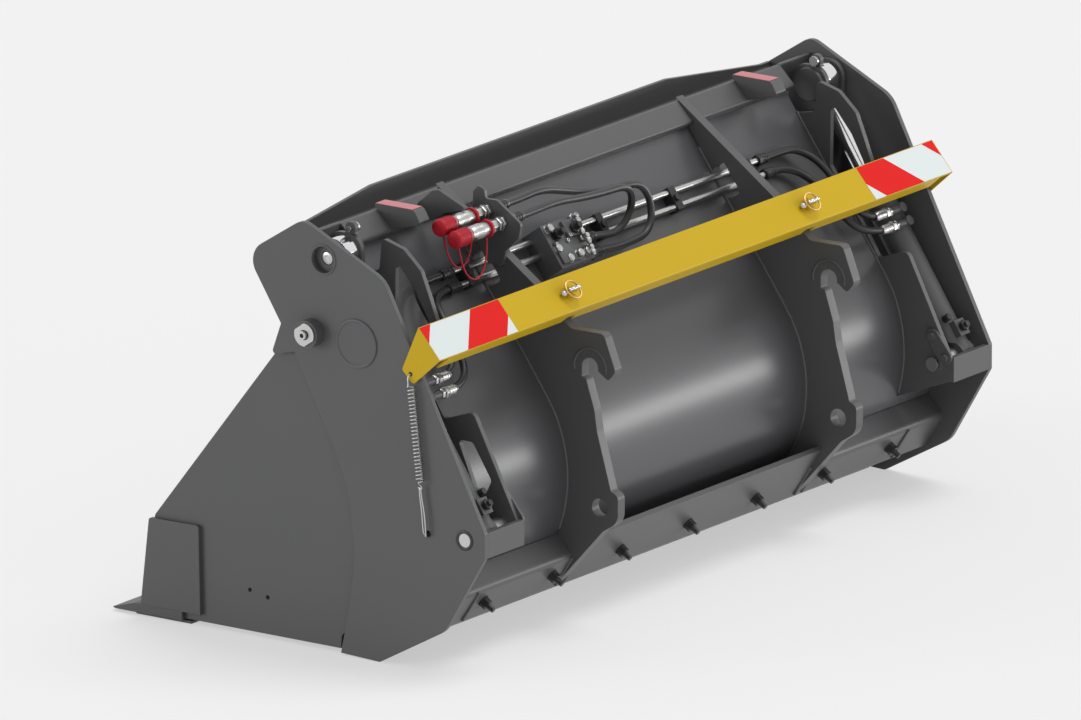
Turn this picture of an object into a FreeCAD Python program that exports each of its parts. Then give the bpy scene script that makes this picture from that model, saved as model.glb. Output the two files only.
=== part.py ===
import FreeCAD, Part
import math
import os
import Sketcher
from FreeCAD import Rotation, Vector

# Four-in-one loader bucket, millimetres. +X is the operator's left, +Y the machine side, +Z up.
# The origin is on the floor, midway between the lip and the rearmost corner.

doc = FreeCAD.newDocument("bucket")
sheet = doc.addObject("Spreadsheet::Sheet", "sizes")

SIZES = [
    ("bucket_width", 1878.0),
    ("pivot_height", 693.0),
    ("lip_reach", 525.0),
    ("rear_reach", 442.0),
    ("side_plate", 12.0),
    ("inner_plate", 12.0),
    ("channel_width", 120.0),
    ("clam_plate", 12.0),
    ("clam_gap", 2.0),
    ("shell_radius", 300.0),
    ("shell_plate", 10.0),
    ("beam_plate", 8.0),
    ("strip_plate", 12.0),
    ("edge_bar", 16.0),
    ("floor_plate", 12.0),
    ("skid_height", 6.0),
    ("coupler_spacing", 882.0),
    ("coupler_plate", 25.0),
    ("coupler_eye", 40.0),
    ("hook_mouth", 42.0),
    ("pivot_pin", 40.0),
    ("pivot_boss", 60.0),
    ("boss_height", 27.0),
    ("base_pin", 30.0),
    ("rod_pin", 30.0),
    ("pin_play", 0.1),
    ("access_hole", 57.0),
    ("barrel_diameter", 70.0),
    ("barrel_bore", 55.0),
    ("barrel_reach", 430.0),
    ("rod_diameter", 40.0),
    ("eye_width", 42.0),
    ("rod_eye", 76.0),
    ("guard_length", 1894.0),
    ("guard_face", 84.0),
    ("guard_plate", 4.0),
    ("stud_diameter", 24.0),
    ("bolt_pitch", 250.0),
    ("hose_diameter", 16.0),
    ("pipe_diameter", 15.0),
    ("tether_diameter", 4.0),
    ("cap_travel", 60.0),
]

for row, (alias, value) in enumerate(SIZES, start=1):
    sheet.set(f"A{row}", alias)
    sheet.set(f"B{row}", str(value))
    sheet.setAlias(f"B{row}", alias)
doc.recompute()

S = {alias: float(sheet.get(alias)) for alias, value in SIZES}
SIDES = (("left", 1), ("right", -1))

# Places that follow from the sizes, seen from the clam pivot
floor_z = -S["pivot_height"]
outer_face = S["bucket_width"] / 2
channel_outer = outer_face - S["side_plate"]
channel_inner = channel_outer - S["channel_width"]
inner_face = channel_inner - S["inner_plate"]
clam_outer = channel_outer - S["clam_gap"]
clam_inner = clam_outer - S["clam_plate"]
coupler_x = S["coupler_spacing"] / 2
pivot_y = (S["lip_reach"] - S["rear_reach"]) / 2
PIVOT_Y = "(sizes.lip_reach - sizes.rear_reach) / 2"
PIVOT_Z = "sizes.pivot_height"

PARTS = {}


# Sketch and feature helpers
def keep(name, obj):
    obj.Label = name
    PARTS[name] = obj
    return obj


def rounded(points):
    """Edges of a closed outline. A point is (y, z) or (y, z, corner radius)."""
    corners = []
    count = len(points)
    for i, point in enumerate(points):
        here = Vector(point[0], point[1], 0)
        radius = point[2] if len(point) > 2 else 0
        before = Vector(*points[i - 1][:2], 0)
        after = Vector(*points[(i + 1) % count][:2], 0)
        to_before = (before - here).normalize()
        to_after = (after - here).normalize()
        if radius <= 0:
            corners.append((here, None, here))
            continue
        half = to_before.getAngle(to_after) / 2
        reach = radius / math.tan(half)
        middle = (to_before + to_after).normalize()
        mid = here + middle * (radius / math.sin(half) - radius)
        corners.append((here + to_before * reach, mid, here + to_after * reach))
    return corners


def outline_curves(points):
    corners = rounded(points)
    curves = []
    for i, (start, mid, end) in enumerate(corners):
        if mid is not None:
            curves.append(Part.Arc(start, mid, end))
        following = corners[(i + 1) % len(corners)][0]
        if (following - end).Length > 1e-6:
            curves.append(Part.LineSegment(end, following))
    return curves


def draw(body, name, plane_role, outlines, circles=()):
    """A sketch on one of the body's planes, with closed outlines and bound circles."""
    sketch = body.newObject("Sketcher::SketchObject", name)
    plane = [f for f in body.Origin.OriginFeatures if f.Role == plane_role][0]
    sketch.AttachmentSupport = (plane, [""])
    sketch.MapMode = "FlatFace"
    for points in outlines:
        for curve in outline_curves(points):
            sketch.addGeometry(curve, False)
    for centre_y, centre_z, radius, formula in circles:
        circle = Part.Circle(Vector(centre_y, centre_z, 0), Vector(0, 0, 1), radius)
        index = sketch.addGeometry(circle, False)
        number = sketch.addConstraint(Sketcher.Constraint("Radius", index, radius))
        if formula:
            sketch.setExpression(f"Constraints[{number}]", formula)
    return sketch


def body_at(name, x_formula, y_formula=PIVOT_Y, z_formula=PIVOT_Z):
    body = doc.addObject("PartDesign::Body", name + "_body")
    body.setExpression("Placement.Base.x", x_formula)
    body.setExpression("Placement.Base.y", y_formula)
    body.setExpression("Placement.Base.z", z_formula)
    return body


def plate(name, outlines, x_formula, thickness, circles=(), both=False):
    """A plate cut from sheet, its side profile in the YZ plane, padded towards +X."""
    body = body_at(name, x_formula)
    sketch = draw(body, name + "_profile", "YZ_Plane", outlines, circles)
    pad = body.newObject("PartDesign::Pad", name + "_pad")
    pad.Profile = sketch
    pad.setExpression("Length", thickness)
    if both:
        pad.Midplane = True
    body.Tip = pad
    return keep(name, body)


def side_x(side, outer_formula, thickness_formula):
    """Where a side plate starts: its outer face is outer_formula away from the middle."""
    if side > 0:
        return f"{outer_formula} - {thickness_formula}"
    return f"-({outer_formula})"


def turned(name, profile, y_formula, z_formula):
    """A turned piece about the X axis; the profile is (x, radius) points."""
    body = doc.addObject("PartDesign::Body", name + "_body")
    body.setExpression("Placement.Base.y", y_formula)
    body.setExpression("Placement.Base.z", z_formula)
    sketch = draw(body, name + "_profile", "XY_Plane", [profile])
    axis = [f for f in body.Origin.OriginFeatures if f.Role == "X_Axis"][0]
    spin = body.newObject("PartDesign::Revolution", name + "_turn")
    spin.Profile = sketch
    spin.ReferenceAxis = (axis, [""])
    spin.Angle = 360.0
    body.Tip = spin
    return body


def group(name, members):
    """Like pieces that share one node, each still a solid of its own."""
    bundle = doc.addObject("Part::Compound", name + "_group")
    bundle.Links = members
    return keep(name, bundle)


def shaped(name, shape, keep_it=True):
    feature = doc.addObject("Part::Feature", name + "_solid")
    feature.Shape = shape
    if keep_it:
        keep(name, feature)
    return feature


def at(x, y, z):
    """A point given from the clam pivot, in the part's frame."""
    return Vector(x, y + pivot_y, z + S["pivot_height"])


def flip(side, profile):
    return [(side * x, *rest) for x, *rest in profile]


def wire_of(points):
    return Part.Wire(Part.__sortEdges__([c.toShape() for c in outline_curves(points)]))


def prism(points, x_low, x_high):
    """A solid with a side profile seen from the pivot, between two X planes."""
    face = Part.Face(wire_of(points))
    solid = face.extrude(Vector(0, 0, x_high - x_low))
    solid.Placement = FreeCAD.Placement(at(x_low, 0, 0), Rotation(Vector(1, 1, 1), 120))
    return solid


def rod_between(start, end, radius, hollow=0):
    axis = end - start
    solid = Part.makeCylinder(radius, axis.Length, start, axis)
    if hollow:
        solid = solid.cut(Part.makeCylinder(hollow, axis.Length, start, axis))
    return solid


def tube(name, points, diameter, scale=0.45):
    """Straight runs joined by tangent arcs, swept by a round section."""
    runs = [(b - a).Length for a, b in zip(points, points[1:])]
    edges = []
    last = points[0]
    radii = []
    for i in range(1, len(points) - 1):
        here = points[i]
        back = (points[i - 1] - here).normalize()
        onward = (points[i + 1] - here).normalize()
        turn = math.pi - back.getAngle(onward)
        radius = scale * min(runs[i - 1], runs[i]) / math.tan(turn / 2)
        reach = radius * math.tan(turn / 2)
        middle = (back + onward).normalize()
        mid = here + middle * (radius / math.cos(turn / 2) - radius)
        edges.append(Part.LineSegment(last, here + back * reach).toShape())
        edges.append(Part.Arc(here + back * reach, mid, here + onward * reach).toShape())
        last = here + onward * reach
        radii.append(round(radius))
    edges.append(Part.LineSegment(last, points[-1]).toShape())
    path = Part.Wire(edges)
    section = Part.Wire(Part.Circle(points[0], points[1] - points[0], diameter / 2).toShape())
    solid = path.makePipeShell([section], True, False)
    share = solid.Volume / (math.pi * diameter ** 2 / 4 * path.Length)
    print(f"{name}: length {path.Length:.0f}, radii {radii}, volume share {share:.4f}")
    return solid


# Side profile points shared by several plates, from the clam pivot
ROD_PIN = (28.0, 161.0)
BASE_PIN = (391.0, -392.0)
shell_y = 12.0
shell_z = floor_z + S["edge_bar"] + S["shell_radius"]
shell_top = (2.0, 152.0)
toe_y = 76.0
heel_y = 172.0
underside_y = 131.0
strip_toe = (278.0, floor_z + 73.0)
strip_fold = (328.0, floor_z + 148.0)
middle_ridge = (354.0, floor_z + 186.0)
beam_crest = (-30.0, 212.0)
beam_brow = (18.0, 165.0)
foot_top = floor_z + 267
cap_top = foot_top + 55


def on_shell(angle, radius):
    turn = math.radians(angle)
    return (shell_y + radius * math.cos(turn), shell_z + radius * math.sin(turn))


def tangent_angle(radius):
    """Where the straight back plate leaves the round of the shell."""
    dy = shell_top[0] - shell_y
    dz = shell_top[1] - shell_z
    reach = math.hypot(dy, dz)
    return math.degrees(math.atan2(dz, dy) - math.acos(radius / reach))


def shell_band(start_angle, end_angle, straight, outer, inner):
    """Profile of the shell as one thick band of sheet, closed."""
    outer_arc = Part.ArcOfCircle(
        Part.Circle(Vector(shell_y, shell_z, 0), Vector(0, 0, 1), outer),
        math.radians(start_angle), math.radians(end_angle))
    inner_arc = Part.ArcOfCircle(
        Part.Circle(Vector(shell_y, shell_z, 0), Vector(0, 0, 1), inner),
        math.radians(start_angle), math.radians(end_angle))
    a0 = Vector(*on_shell(start_angle, outer), 0)
    b0 = Vector(*on_shell(start_angle, inner), 0)
    a1 = Vector(*on_shell(end_angle, outer), 0)
    b1 = Vector(*on_shell(end_angle, inner), 0)
    edges = [outer_arc.toShape(), inner_arc.toShape(), Part.LineSegment(a0, b0).toShape()]
    if straight:
        along = (Vector(*shell_top, 0) - a1)
        edges.append(Part.LineSegment(a1, a1 + along).toShape())
        edges.append(Part.LineSegment(b1, b1 + along).toShape())
        edges.append(Part.LineSegment(a1 + along, b1 + along).toShape())
    else:
        edges.append(Part.LineSegment(a1, b1).toShape())
    return Part.Face(Part.Wire(Part.__sortEdges__(edges)))


def placed_prism(face, x_low, x_high):
    solid = face.extrude(Vector(0, 0, x_high - x_low))
    solid.Placement = FreeCAD.Placement(at(x_low, 0, 0), Rotation(Vector(1, 1, 1), 120))
    return solid


def shell_corner(first, last, radius):
    """Outline corner that follows the round of the shell from one angle to another."""
    half = math.radians(abs(last - first)) / 2
    y, z = on_shell((first + last) / 2, radius / math.cos(half))
    return (y, z, radius)


def on_back(down, off):
    """A point on the straight back plate: down from its top, off its rear face."""
    turn = math.radians(back_angle)
    return (shell_top[0] + down * math.sin(turn) + off * math.cos(turn),
            shell_top[1] - down * math.cos(turn) + off * math.sin(turn))


# Moldboard shell: full round between the inner plates, its foot also across the channels
outer_round = S["shell_radius"]
inner_round = outer_round - S["shell_plate"]
toe_angle = -math.degrees(math.acos((toe_y - shell_y) / outer_round))
back_angle = tangent_angle(outer_round)
channel_stop = -4.0
seam = 0.05
full_band = shell_band(toe_angle, back_angle, True, outer_round, inner_round)
foot_band = shell_band(toe_angle, channel_stop, False, outer_round, inner_round)
shaped("back_shell", Part.makeCompound([
    placed_prism(full_band, -inner_face + seam, inner_face - seam),
    placed_prism(foot_band, channel_inner + seam, channel_outer - seam),
    placed_prism(foot_band, -channel_outer + seam, -channel_inner - seam)]))

# Outer side plates, with the lobe that covers the rod pin and the pivot boss
side_outline = [
    (-82, 6), (-171, 147, 45), (-26, 240, 35), (182, 140, 70),
    (S["rear_reach"], cap_top, 8), (S["rear_reach"], foot_top, 8),
    (340, floor_z + 94, 60), (heel_y, floor_z + 1, 10), (toe_y - 4, floor_z + 5),
    (98, floor_z + 130, 200), (110, floor_z + 222, 300), (92, floor_z + 360, 300),
    (60, -253, 120), (-47, -50), (-108, -67, 8),
]
spring_hole = (297.0, -392.0)
spring_hole_radius = 7.0
pivot_bore = (0, 0, (S["pivot_pin"] + S["pin_play"]) / 2, "(sizes.pivot_pin + sizes.pin_play) / 2")
base_bore = (*BASE_PIN, (S["base_pin"] + S["pin_play"]) / 2, "(sizes.base_pin + sizes.pin_play) / 2")
access_bore = (*ROD_PIN, S["access_hole"] / 2, "sizes.access_hole / 2")
for word, side in SIDES:
    plate(f"side_plate_{word}", [side_outline],
          side_x(side, "sizes.bucket_width / 2", "sizes.side_plate"), "sizes.side_plate",
          circles=[pivot_bore, access_bore, base_bore, (*spring_hole, spring_hole_radius, None)])

# Inner plates that close the cylinder channels towards the middle
CHANNEL_IN = "(sizes.bucket_width / 2 - sizes.side_plate - sizes.channel_width)"
inner_rear = S["rear_reach"] - 12.0
inner_outline = [
    (-100, 60, 20), (-58, 140, 10), (-26, 148), (-20, 108, 8), (28, 108, 42), (78, 118, 10),
    (84, 188, 8), (140, 172, 10), (184, 132, 14), (204, 84, 30), (238, -2, 5), (221, -8, 5),
    (204, 30, 30), (174, 84, 20), (120, 148, 8), (118, 5, 12), (201, -110, 12), (246, -180, 8),
    (319, -154, 14), (inner_rear, cap_top, 8), (inner_rear, foot_top, 8),
    on_shell(-20, outer_round), shell_corner(-20, toe_angle, outer_round),
    on_shell(toe_angle, outer_round), (20, -300, 60), (-70, -40, 60),
]
slot = [(280, -219, 8), (318, -219, 12), (367, -296, 12), (351, -328, 10), (324, -322, 8)]
for word, side in SIDES:
    plate(f"inner_plate_{word}", [inner_outline, slot] if side > 0 else [inner_outline],
          side_x(side, CHANNEL_IN, "sizes.inner_plate"), "sizes.inner_plate",
          circles=[pivot_bore, base_bore])

# Closing plates at the foot of each channel
for word, side in SIDES:
    plate(f"channel_cap_{word}",
          [[(inner_rear + seam, cap_top), (S["rear_reach"], cap_top),
            (S["rear_reach"], foot_top), (inner_rear + seam, foot_top)]],
          f"{CHANNEL_IN} - sizes.inner_plate" if side > 0
          else "-(sizes.bucket_width / 2 - sizes.side_plate)",
          "sizes.channel_width + sizes.inner_plate")

# Top beam: a folded box between the inner plates, its crest carried on to the side plates
beam_outer = [(-40, 158), (*beam_crest, 7), (*beam_brow, 7), (4, 152)]
beam_inner = [(-30.5, 165.5), (-25, 195.5), (5, 166), (0, 161)]
crest_end = [(-40, 158), (*beam_crest, 5), (-22, 204), (-31, 158)]
beam_box = prism(beam_outer, -channel_inner, channel_inner)
beam_box = beam_box.cut(prism(beam_inner, -channel_inner - 1, channel_inner + 1))
for side in (1, -1):
    low, high = sorted((side * channel_inner, side * channel_outer))
    beam_box = beam_box.fuse(prism(crest_end, low, high))
shaped("top_beam", beam_box.removeSplitter())

# Spill guard: the turned-up front edge, its top falling towards both ends
guard_front = -138.0
guard_low = 150.0
guard_high = 213.0
guard_end_high = 170.0
flat_half = 541.0
fall_half = 894.0
angle_iron = [(-40 - seam, guard_low), (-40 - seam, guard_low + S["beam_plate"]),
              (guard_front + S["beam_plate"], guard_low + S["beam_plate"], 6),
              (guard_front + S["beam_plate"], guard_high), (guard_front, guard_high),
              (guard_front, guard_low, 10)]
spill = prism(angle_iron, -channel_outer, channel_outer)
crown = [(-channel_outer - 1, guard_low - 1), (channel_outer + 1, guard_low - 1),
         (channel_outer + 1, guard_end_high), (fall_half, guard_end_high), (flat_half, guard_high),
         (-flat_half, guard_high), (-fall_half, guard_end_high), (-channel_outer - 1, guard_end_high)]
crown_face = Part.Face(Part.makePolygon([at(x, -200, z) for x, z in crown + crown[:1]]))
shaped("spill_guard", spill.common(crown_face.extrude(Vector(0, 220, 0))))

# Two wedge brackets on the beam that carry the reflective strips
marker_x = 656.0
marker_width = 36.0
marker = [(-25.97, 208.12), (-29, 214, 2), (-26, 218, 2), (72, 218, 16), (88, 191, 6), (79, 184, 4), (15.03, 167.98)]
group("marker_brackets", [
    plate(f"marker_{word}", [marker], f"{side * marker_x - marker_width / 2}", f"{marker_width}")
    for word, side in SIDES])
for word, side in SIDES:
    PARTS.pop(f"marker_{word}")

# Coupler plates with the hook on top and the locking eye below
EYE = (395.0, -430.0)
HOOK = (370.0, -127.0)
mouth = S["hook_mouth"] / 2
rear_nose = S["rear_reach"]
pipe_slot = [(*on_back(104, 4), 8), (*on_back(104, 40), 8), (*on_back(182, 40), 8), (*on_back(182, 4), 8)]
mid_angle = -11.0
end_angle = -math.degrees(math.acos((underside_y + 1 - shell_y) / outer_round))
coupler_outline = [
    (-29.2, 213), (228, 30, 60), (321, -50, 20), (405, -49, 14), (436, -128, 14), (417, -150, 8),
    (HOOK[0] + mouth, HOOK[1] - 5), (HOOK[0] + mouth, HOOK[1] + mouth, mouth),
    (HOOK[0] - mouth, HOOK[1] + mouth, mouth), (HOOK[0] - mouth, -150, 3),
    (360, -154, 6), (381, -218, 30), (388, -265, 30), (424, -390, 6),
    (rear_nose, -396, 16), (rear_nose, -456, 34), (403, -481, 10), strip_toe,
    (underside_y + 1, floor_z + 1), on_shell(end_angle, outer_round + seam),
    shell_corner(end_angle, mid_angle, outer_round + seam), on_shell(mid_angle, outer_round + seam),
    shell_corner(mid_angle, back_angle, outer_round + seam), on_shell(back_angle, outer_round + seam),
    (shell_top[0] + 2.4, shell_top[1] + 0.4), (beam_brow[0] + 0.4, beam_brow[1]),
]
eye_bore = (*EYE, S["coupler_eye"] / 2, "sizes.coupler_eye / 2")
for word, side in SIDES:
    start = "sizes.coupler_spacing / 2 - sizes.coupler_plate / 2"
    if side < 0:
        start = "-sizes.coupler_spacing / 2 - sizes.coupler_plate / 2"
    plate(f"coupler_plate_{word}", [coupler_outline, pipe_slot], start, "sizes.coupler_plate",
          circles=[eye_bore])

# Lower beam: sheet folded round the foot of the shell, in three lengths
plate_half = S["coupler_plate"] / 2
strip_angle = math.atan2(strip_fold[1] - strip_toe[1], strip_fold[0] - strip_toe[0])
up_strip = (math.cos(strip_angle), math.sin(strip_angle))
off_strip = (math.sin(strip_angle), -math.cos(strip_angle))


def on_strip(up, off):
    """A point on the sloping face of the strip: up from its toe, off its outer face."""
    return (strip_toe[0] + up * up_strip[0] + off * off_strip[0],
            strip_toe[1] + up * up_strip[1] + off * off_strip[1])


fold_run = math.hypot(strip_fold[0] - strip_toe[0], strip_fold[1] - strip_toe[1])
ridge_run = math.hypot(middle_ridge[0] - strip_toe[0], middle_ridge[1] - strip_toe[1])
gauge = S["strip_plate"]
strip_heel = [(underside_y + 0.3, floor_z + 14), (underside_y + 0.3, floor_z + 1), (*strip_toe, 3)]
outer_strip = [*strip_heel, (*strip_fold, 14), on_shell(-25, outer_round + 1), on_shell(-28, outer_round - 6),
               on_strip(fold_run - 10, -gauge), on_strip(4, -gauge)]
middle_strip = [*strip_heel, on_strip(ridge_run, 0), on_strip(ridge_run, -gauge), on_strip(4, -gauge)]
lengths = [prism(middle_strip, -coupler_x + plate_half + seam, coupler_x - plate_half - seam),
           prism(outer_strip, coupler_x + plate_half + seam, channel_outer - seam),
           prism(outer_strip, -channel_outer + seam, -coupler_x - plate_half - seam)]
round_tool = Part.makeCylinder(outer_round + seam, S["bucket_width"],
                               at(-outer_face, shell_y, shell_z), Vector(1, 0, 0))
shaped("lower_beam", Part.makeCompound([piece.cut(round_tool) for piece in lengths]))

# Bolts along the strip: washer, nut and the end of the thread
bolt_axis = Vector(0, *off_strip)
turn = Rotation(Vector(0, 0, 1), bolt_axis)
bolts = []
for k in range(-3, 4):
    seat = at(k * S["bolt_pitch"], *on_strip(48, 0))
    washer = Part.makeCylinder(13.5, 3, seat, bolt_axis)
    corners = [seat + bolt_axis * 3 + turn.multVec(Vector(12.5 * math.cos(math.radians(a)),
                                                         12.5 * math.sin(math.radians(a)), 0))
               for a in range(0, 361, 60)]
    nut_solid = Part.Face(Part.makePolygon(corners)).extrude(bolt_axis * 13)
    tip = Part.makeCone(7, 5.5, 16, seat + bolt_axis * 16, bolt_axis)
    bolts.append(washer.fuse([nut_solid, tip]))
shaped("edge_bolts", Part.makeCompound(bolts))

# Bolted-on moldboard edge that the clam closes against
edge_profile = [(toe_y, floor_z), (underside_y, floor_z), (underside_y, floor_z + S["edge_bar"]),
                (100, floor_z + S["edge_bar"]), (92, floor_z + 33), (toe_y, floor_z + 33)]
edge = prism(edge_profile, -channel_outer + seam, channel_outer - seam)
shaped("moldboard_edge", edge.cut(round_tool))

# Clam: side plates just inside the outer plates, reaching up to the pivot and the rod pin
clam_low = floor_z + 10
floor_rear = toe_y - 6
edge_rear = -344.5
edge_top = floor_z + S["skid_height"] + 20
clam_outline = [
    (-446, edge_top + 0.2), (-421, -468, 12), (-108, -67), (-58, -3, 40), (-44, 70, 40),
    (-14, 203, 40), (70, 203, 40), (66, 96, 60), (56, -60, 40), (84, -250, 100),
    (130, floor_z + 222, 120), (98, floor_z + 72, 60), (64, floor_z + 38, 8), (62, clam_low),
    (edge_rear, clam_low), (edge_rear, edge_top + 0.2),
]
rod_bore = (*ROD_PIN, (S["rod_pin"] + S["pin_play"]) / 2, "(sizes.rod_pin + sizes.pin_play) / 2")
CLAM_OUT = "(sizes.bucket_width / 2 - sizes.side_plate - sizes.clam_gap)"
side_holes = [(-174, -594, 5, None), (-128, -603, 5, None)]
for word, side in SIDES:
    plate(f"clam_side_{word}", [clam_outline], side_x(side, CLAM_OUT, "sizes.clam_plate"),
          "sizes.clam_plate", circles=[pivot_bore, rod_bore] + side_holes)

floor_profile = [(edge_rear + 0.2, clam_low), (floor_rear, clam_low),
                 (floor_rear, clam_low + S["floor_plate"]), (edge_rear + 0.2, clam_low + S["floor_plate"])]
plate("clam_floor", [floor_profile], f"-({CLAM_OUT} - sizes.clam_plate) + 0.1",
      f"2 * ({CLAM_OUT} - sizes.clam_plate) - 0.2")
edge_low = floor_z + S["skid_height"]
wear_gauge = 10.0
cutting_profile = [(-S["lip_reach"], edge_low + 3), (-S["lip_reach"] + 6, edge_low), (edge_rear, edge_low),
                   (edge_rear, edge_top), (-468, edge_top)]
plate("cutting_edge", [cutting_profile], f"-{CLAM_OUT} - {wear_gauge}", f"2 * ({CLAM_OUT} + {wear_gauge})")
skid_profile = [(-471, floor_z), (-327, floor_z), (-327, edge_low), (-471, edge_low)]
skid_width = 140.0
skids = []
wears = []
wear_profile = [(-430, -474, 6), (-301, -472, 6), (-297, edge_top + 0.2), (-452, edge_top + 0.2)]
for word, side in SIDES:
    start = f"{CLAM_OUT} - {skid_width}" if side > 0 else f"-{CLAM_OUT}"
    skids.append(plate(f"skid_{word}", [skid_profile], start, f"{skid_width}"))
    start = CLAM_OUT if side > 0 else f"-{CLAM_OUT} - {wear_gauge}"
    wears.append(plate(f"wear_{word}", [wear_profile], start, f"{wear_gauge}"))
    PARTS.pop(f"skid_{word}")
    PARTS.pop(f"wear_{word}")
group("skid_strips", skids)
group("corner_wear_plates", wears)

# Inner lug, pivot bush and rod pin of each clam arm
eye_middle = channel_outer - 45.0
eye_half = S["eye_width"] / 2
lug_gauge = 11.7
lug_high = eye_middle - eye_half - 0.3
lug_low = lug_high - lug_gauge
bush_radius = 35.0
lug_outline = [(-36, -46, 40), (-52, 30, 40), (-14, 203, 38), (30, 203, 4), (28, 228, 12), (56, 228, 12),
               (54, 203, 4), (70, 203, 38), (72, 110, 40), (54, -44, 44)]
bush_bore = (0, 0, bush_radius + 0.05, None)
keeper_bore = (42, 214, 6.1, None)
lugs = []
bushes = []
rod_pins = []
keepers = []
for word, side in SIDES:
    start = lug_low if side > 0 else -lug_high
    lugs.append(plate(f"lug_{word}", [lug_outline], f"{start}", f"{lug_gauge}",
                      circles=[bush_bore, rod_bore, keeper_bore]))
    PARTS.pop(f"lug_{word}")
    low, high = sorted((side * (channel_inner + 2), side * (clam_inner - seam)))
    tube_solid = Part.makeCylinder(bush_radius, high - low, at(low, 0, 0), Vector(1, 0, 0))
    bore = Part.makeCylinder((S["pivot_pin"] + S["pin_play"]) / 2, high - low, at(low, 0, 0), Vector(1, 0, 0))
    bushes.append(tube_solid.cut(bore))
    pin = S["rod_pin"] / 2
    rod_pins.append(turned(f"rod_pin_{word}", flip(side, [
        (lug_low - 9, 0), (lug_low - 9, 36), (lug_low - 0.1, 38), (lug_low - 0.1, pin),
        (eye_middle + eye_half + 0.4, pin), (eye_middle + eye_half + 0.4, pin + 10),
        (clam_inner - 0.1, pin + 10), (clam_inner - 0.1, pin), (clam_outer - 2, pin),
        (clam_outer, pin - 2), (clam_outer, 0)]),
        f"{PIVOT_Y} + {ROD_PIN[0]}", f"{PIVOT_Z} + {ROD_PIN[1]}"))
    low, high = sorted((side * (lug_low - 8), side * (lug_low - 0.1)))
    stud_low, stud_high = sorted((side * (lug_low - 0.1), side * (lug_high + 8)))
    head = Part.makeCylinder(11, high - low, at(low, 42, 214), Vector(1, 0, 0))
    shank = Part.makeCylinder(6, stud_high - stud_low, at(stud_low, 42, 214), Vector(1, 0, 0))
    keepers.append(head.fuse(shank))
group("clam_lugs", lugs)
shaped("pivot_bushes", Part.makeCompound(bushes))
group("rod_pins", rod_pins)
shaped("keeper_bolts", Part.makeCompound(keepers))

# Pivot pins with their bosses, end washers and screws
pivot_pins = []
caps = []
boss_end = outer_face + S["boss_height"]
for word, side in SIDES:
    pin = S["pivot_pin"] / 2
    boss = S["pivot_boss"] / 2
    pivot_pins.append(turned(f"pivot_pin_{word}", flip(side, [
        (inner_face, 0), (inner_face, pin), (outer_face + 0.1, pin), (outer_face + 0.1, boss),
        (boss_end, boss), (boss_end, 0)]), PIVOT_Y, PIVOT_Z))
    washer = Part.makeCylinder(25, 5, at(side * boss_end, 0, 0), Vector(side, 0, 0))
    for flat in (1, -1):
        trim = Part.makeBox(10, 60, 20, Vector(-5, -30, 21), Vector(0, 0, 1))
        trim.rotate(Vector(0, 0, 0), Vector(1, 0, 0), 35 + 90 * (1 - flat))
        trim.translate(at(side * boss_end + side * 2.5, 0, 0))
        washer = washer.cut(trim)
    screw = Part.makeCylinder(9, 8, at(side * (boss_end + 5), 0, 0), Vector(side, 0, 0))
    socket = Part.makeCylinder(5, 5, at(side * (boss_end + 8), 0, 0), Vector(side, 0, 0))
    caps.append(washer.fuse(screw.cut(socket)))
group("pivot_pins", pivot_pins)
shaped("pivot_washers", Part.makeCompound(caps))

# Base pins of the cylinders with spacer collars, and the keeper plates that hold them
base_pins = []
base_keepers = []
keeper_a = (389.0, -330.0)
keeper_b = (423.0, -373.0)
for word, side in SIDES:
    pin = S["base_pin"] / 2
    base_pins.append(turned(f"base_pin_{word}", flip(side, [
        (inner_face - 10, 0), (inner_face - 10, pin), (channel_inner + 0.2, pin), (channel_inner + 0.2, pin + 8),
        (eye_middle - eye_half - 0.3, pin + 8), (eye_middle - eye_half - 0.3, pin),
        (eye_middle + eye_half + 0.3, pin), (eye_middle + eye_half + 0.3, pin + 8),
        (channel_outer - 0.2, pin + 8), (channel_outer - 0.2, pin), (outer_face, pin), (outer_face, 0)]),
        f"{PIVOT_Y} + {BASE_PIN[0]}", f"{PIVOT_Z} + {BASE_PIN[1]}"))
    along = Vector(0, keeper_b[0] - keeper_a[0], keeper_b[1] - keeper_a[1]).normalize()
    across = Vector(0, -along.z, along.y)
    low = side * inner_face if side < 0 else inner_face - 6
    a = at(low, *keeper_a)
    b = at(low, *keeper_b)
    half_pill = 16.0
    pill = Part.Wire([
        Part.Arc(a + across * half_pill, a - along * half_pill, a - across * half_pill).toShape(),
        Part.LineSegment(a - across * half_pill, b - across * half_pill).toShape(),
        Part.Arc(b - across * half_pill, b + along * half_pill, b + across * half_pill).toShape(),
        Part.LineSegment(b + across * half_pill, a + across * half_pill).toShape()])
    pill_solid = Part.Face(pill).extrude(Vector(6, 0, 0))
    for y, z in (keeper_a, keeper_b):
        start = side * (inner_face - 6)
        pill_solid = pill_solid.fuse(Part.makeCylinder(8, 7, at(start, y, z), Vector(-side, 0, 0)))
    pin_room = Part.makeCylinder(pin + 0.1, 40, at(side * inner_face - 20, *BASE_PIN), Vector(1, 0, 0))
    base_keepers.append(pill_solid.cut(pin_room))
group("base_pins", base_pins)
shaped("base_keepers", Part.makeCompound(base_keepers))

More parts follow.
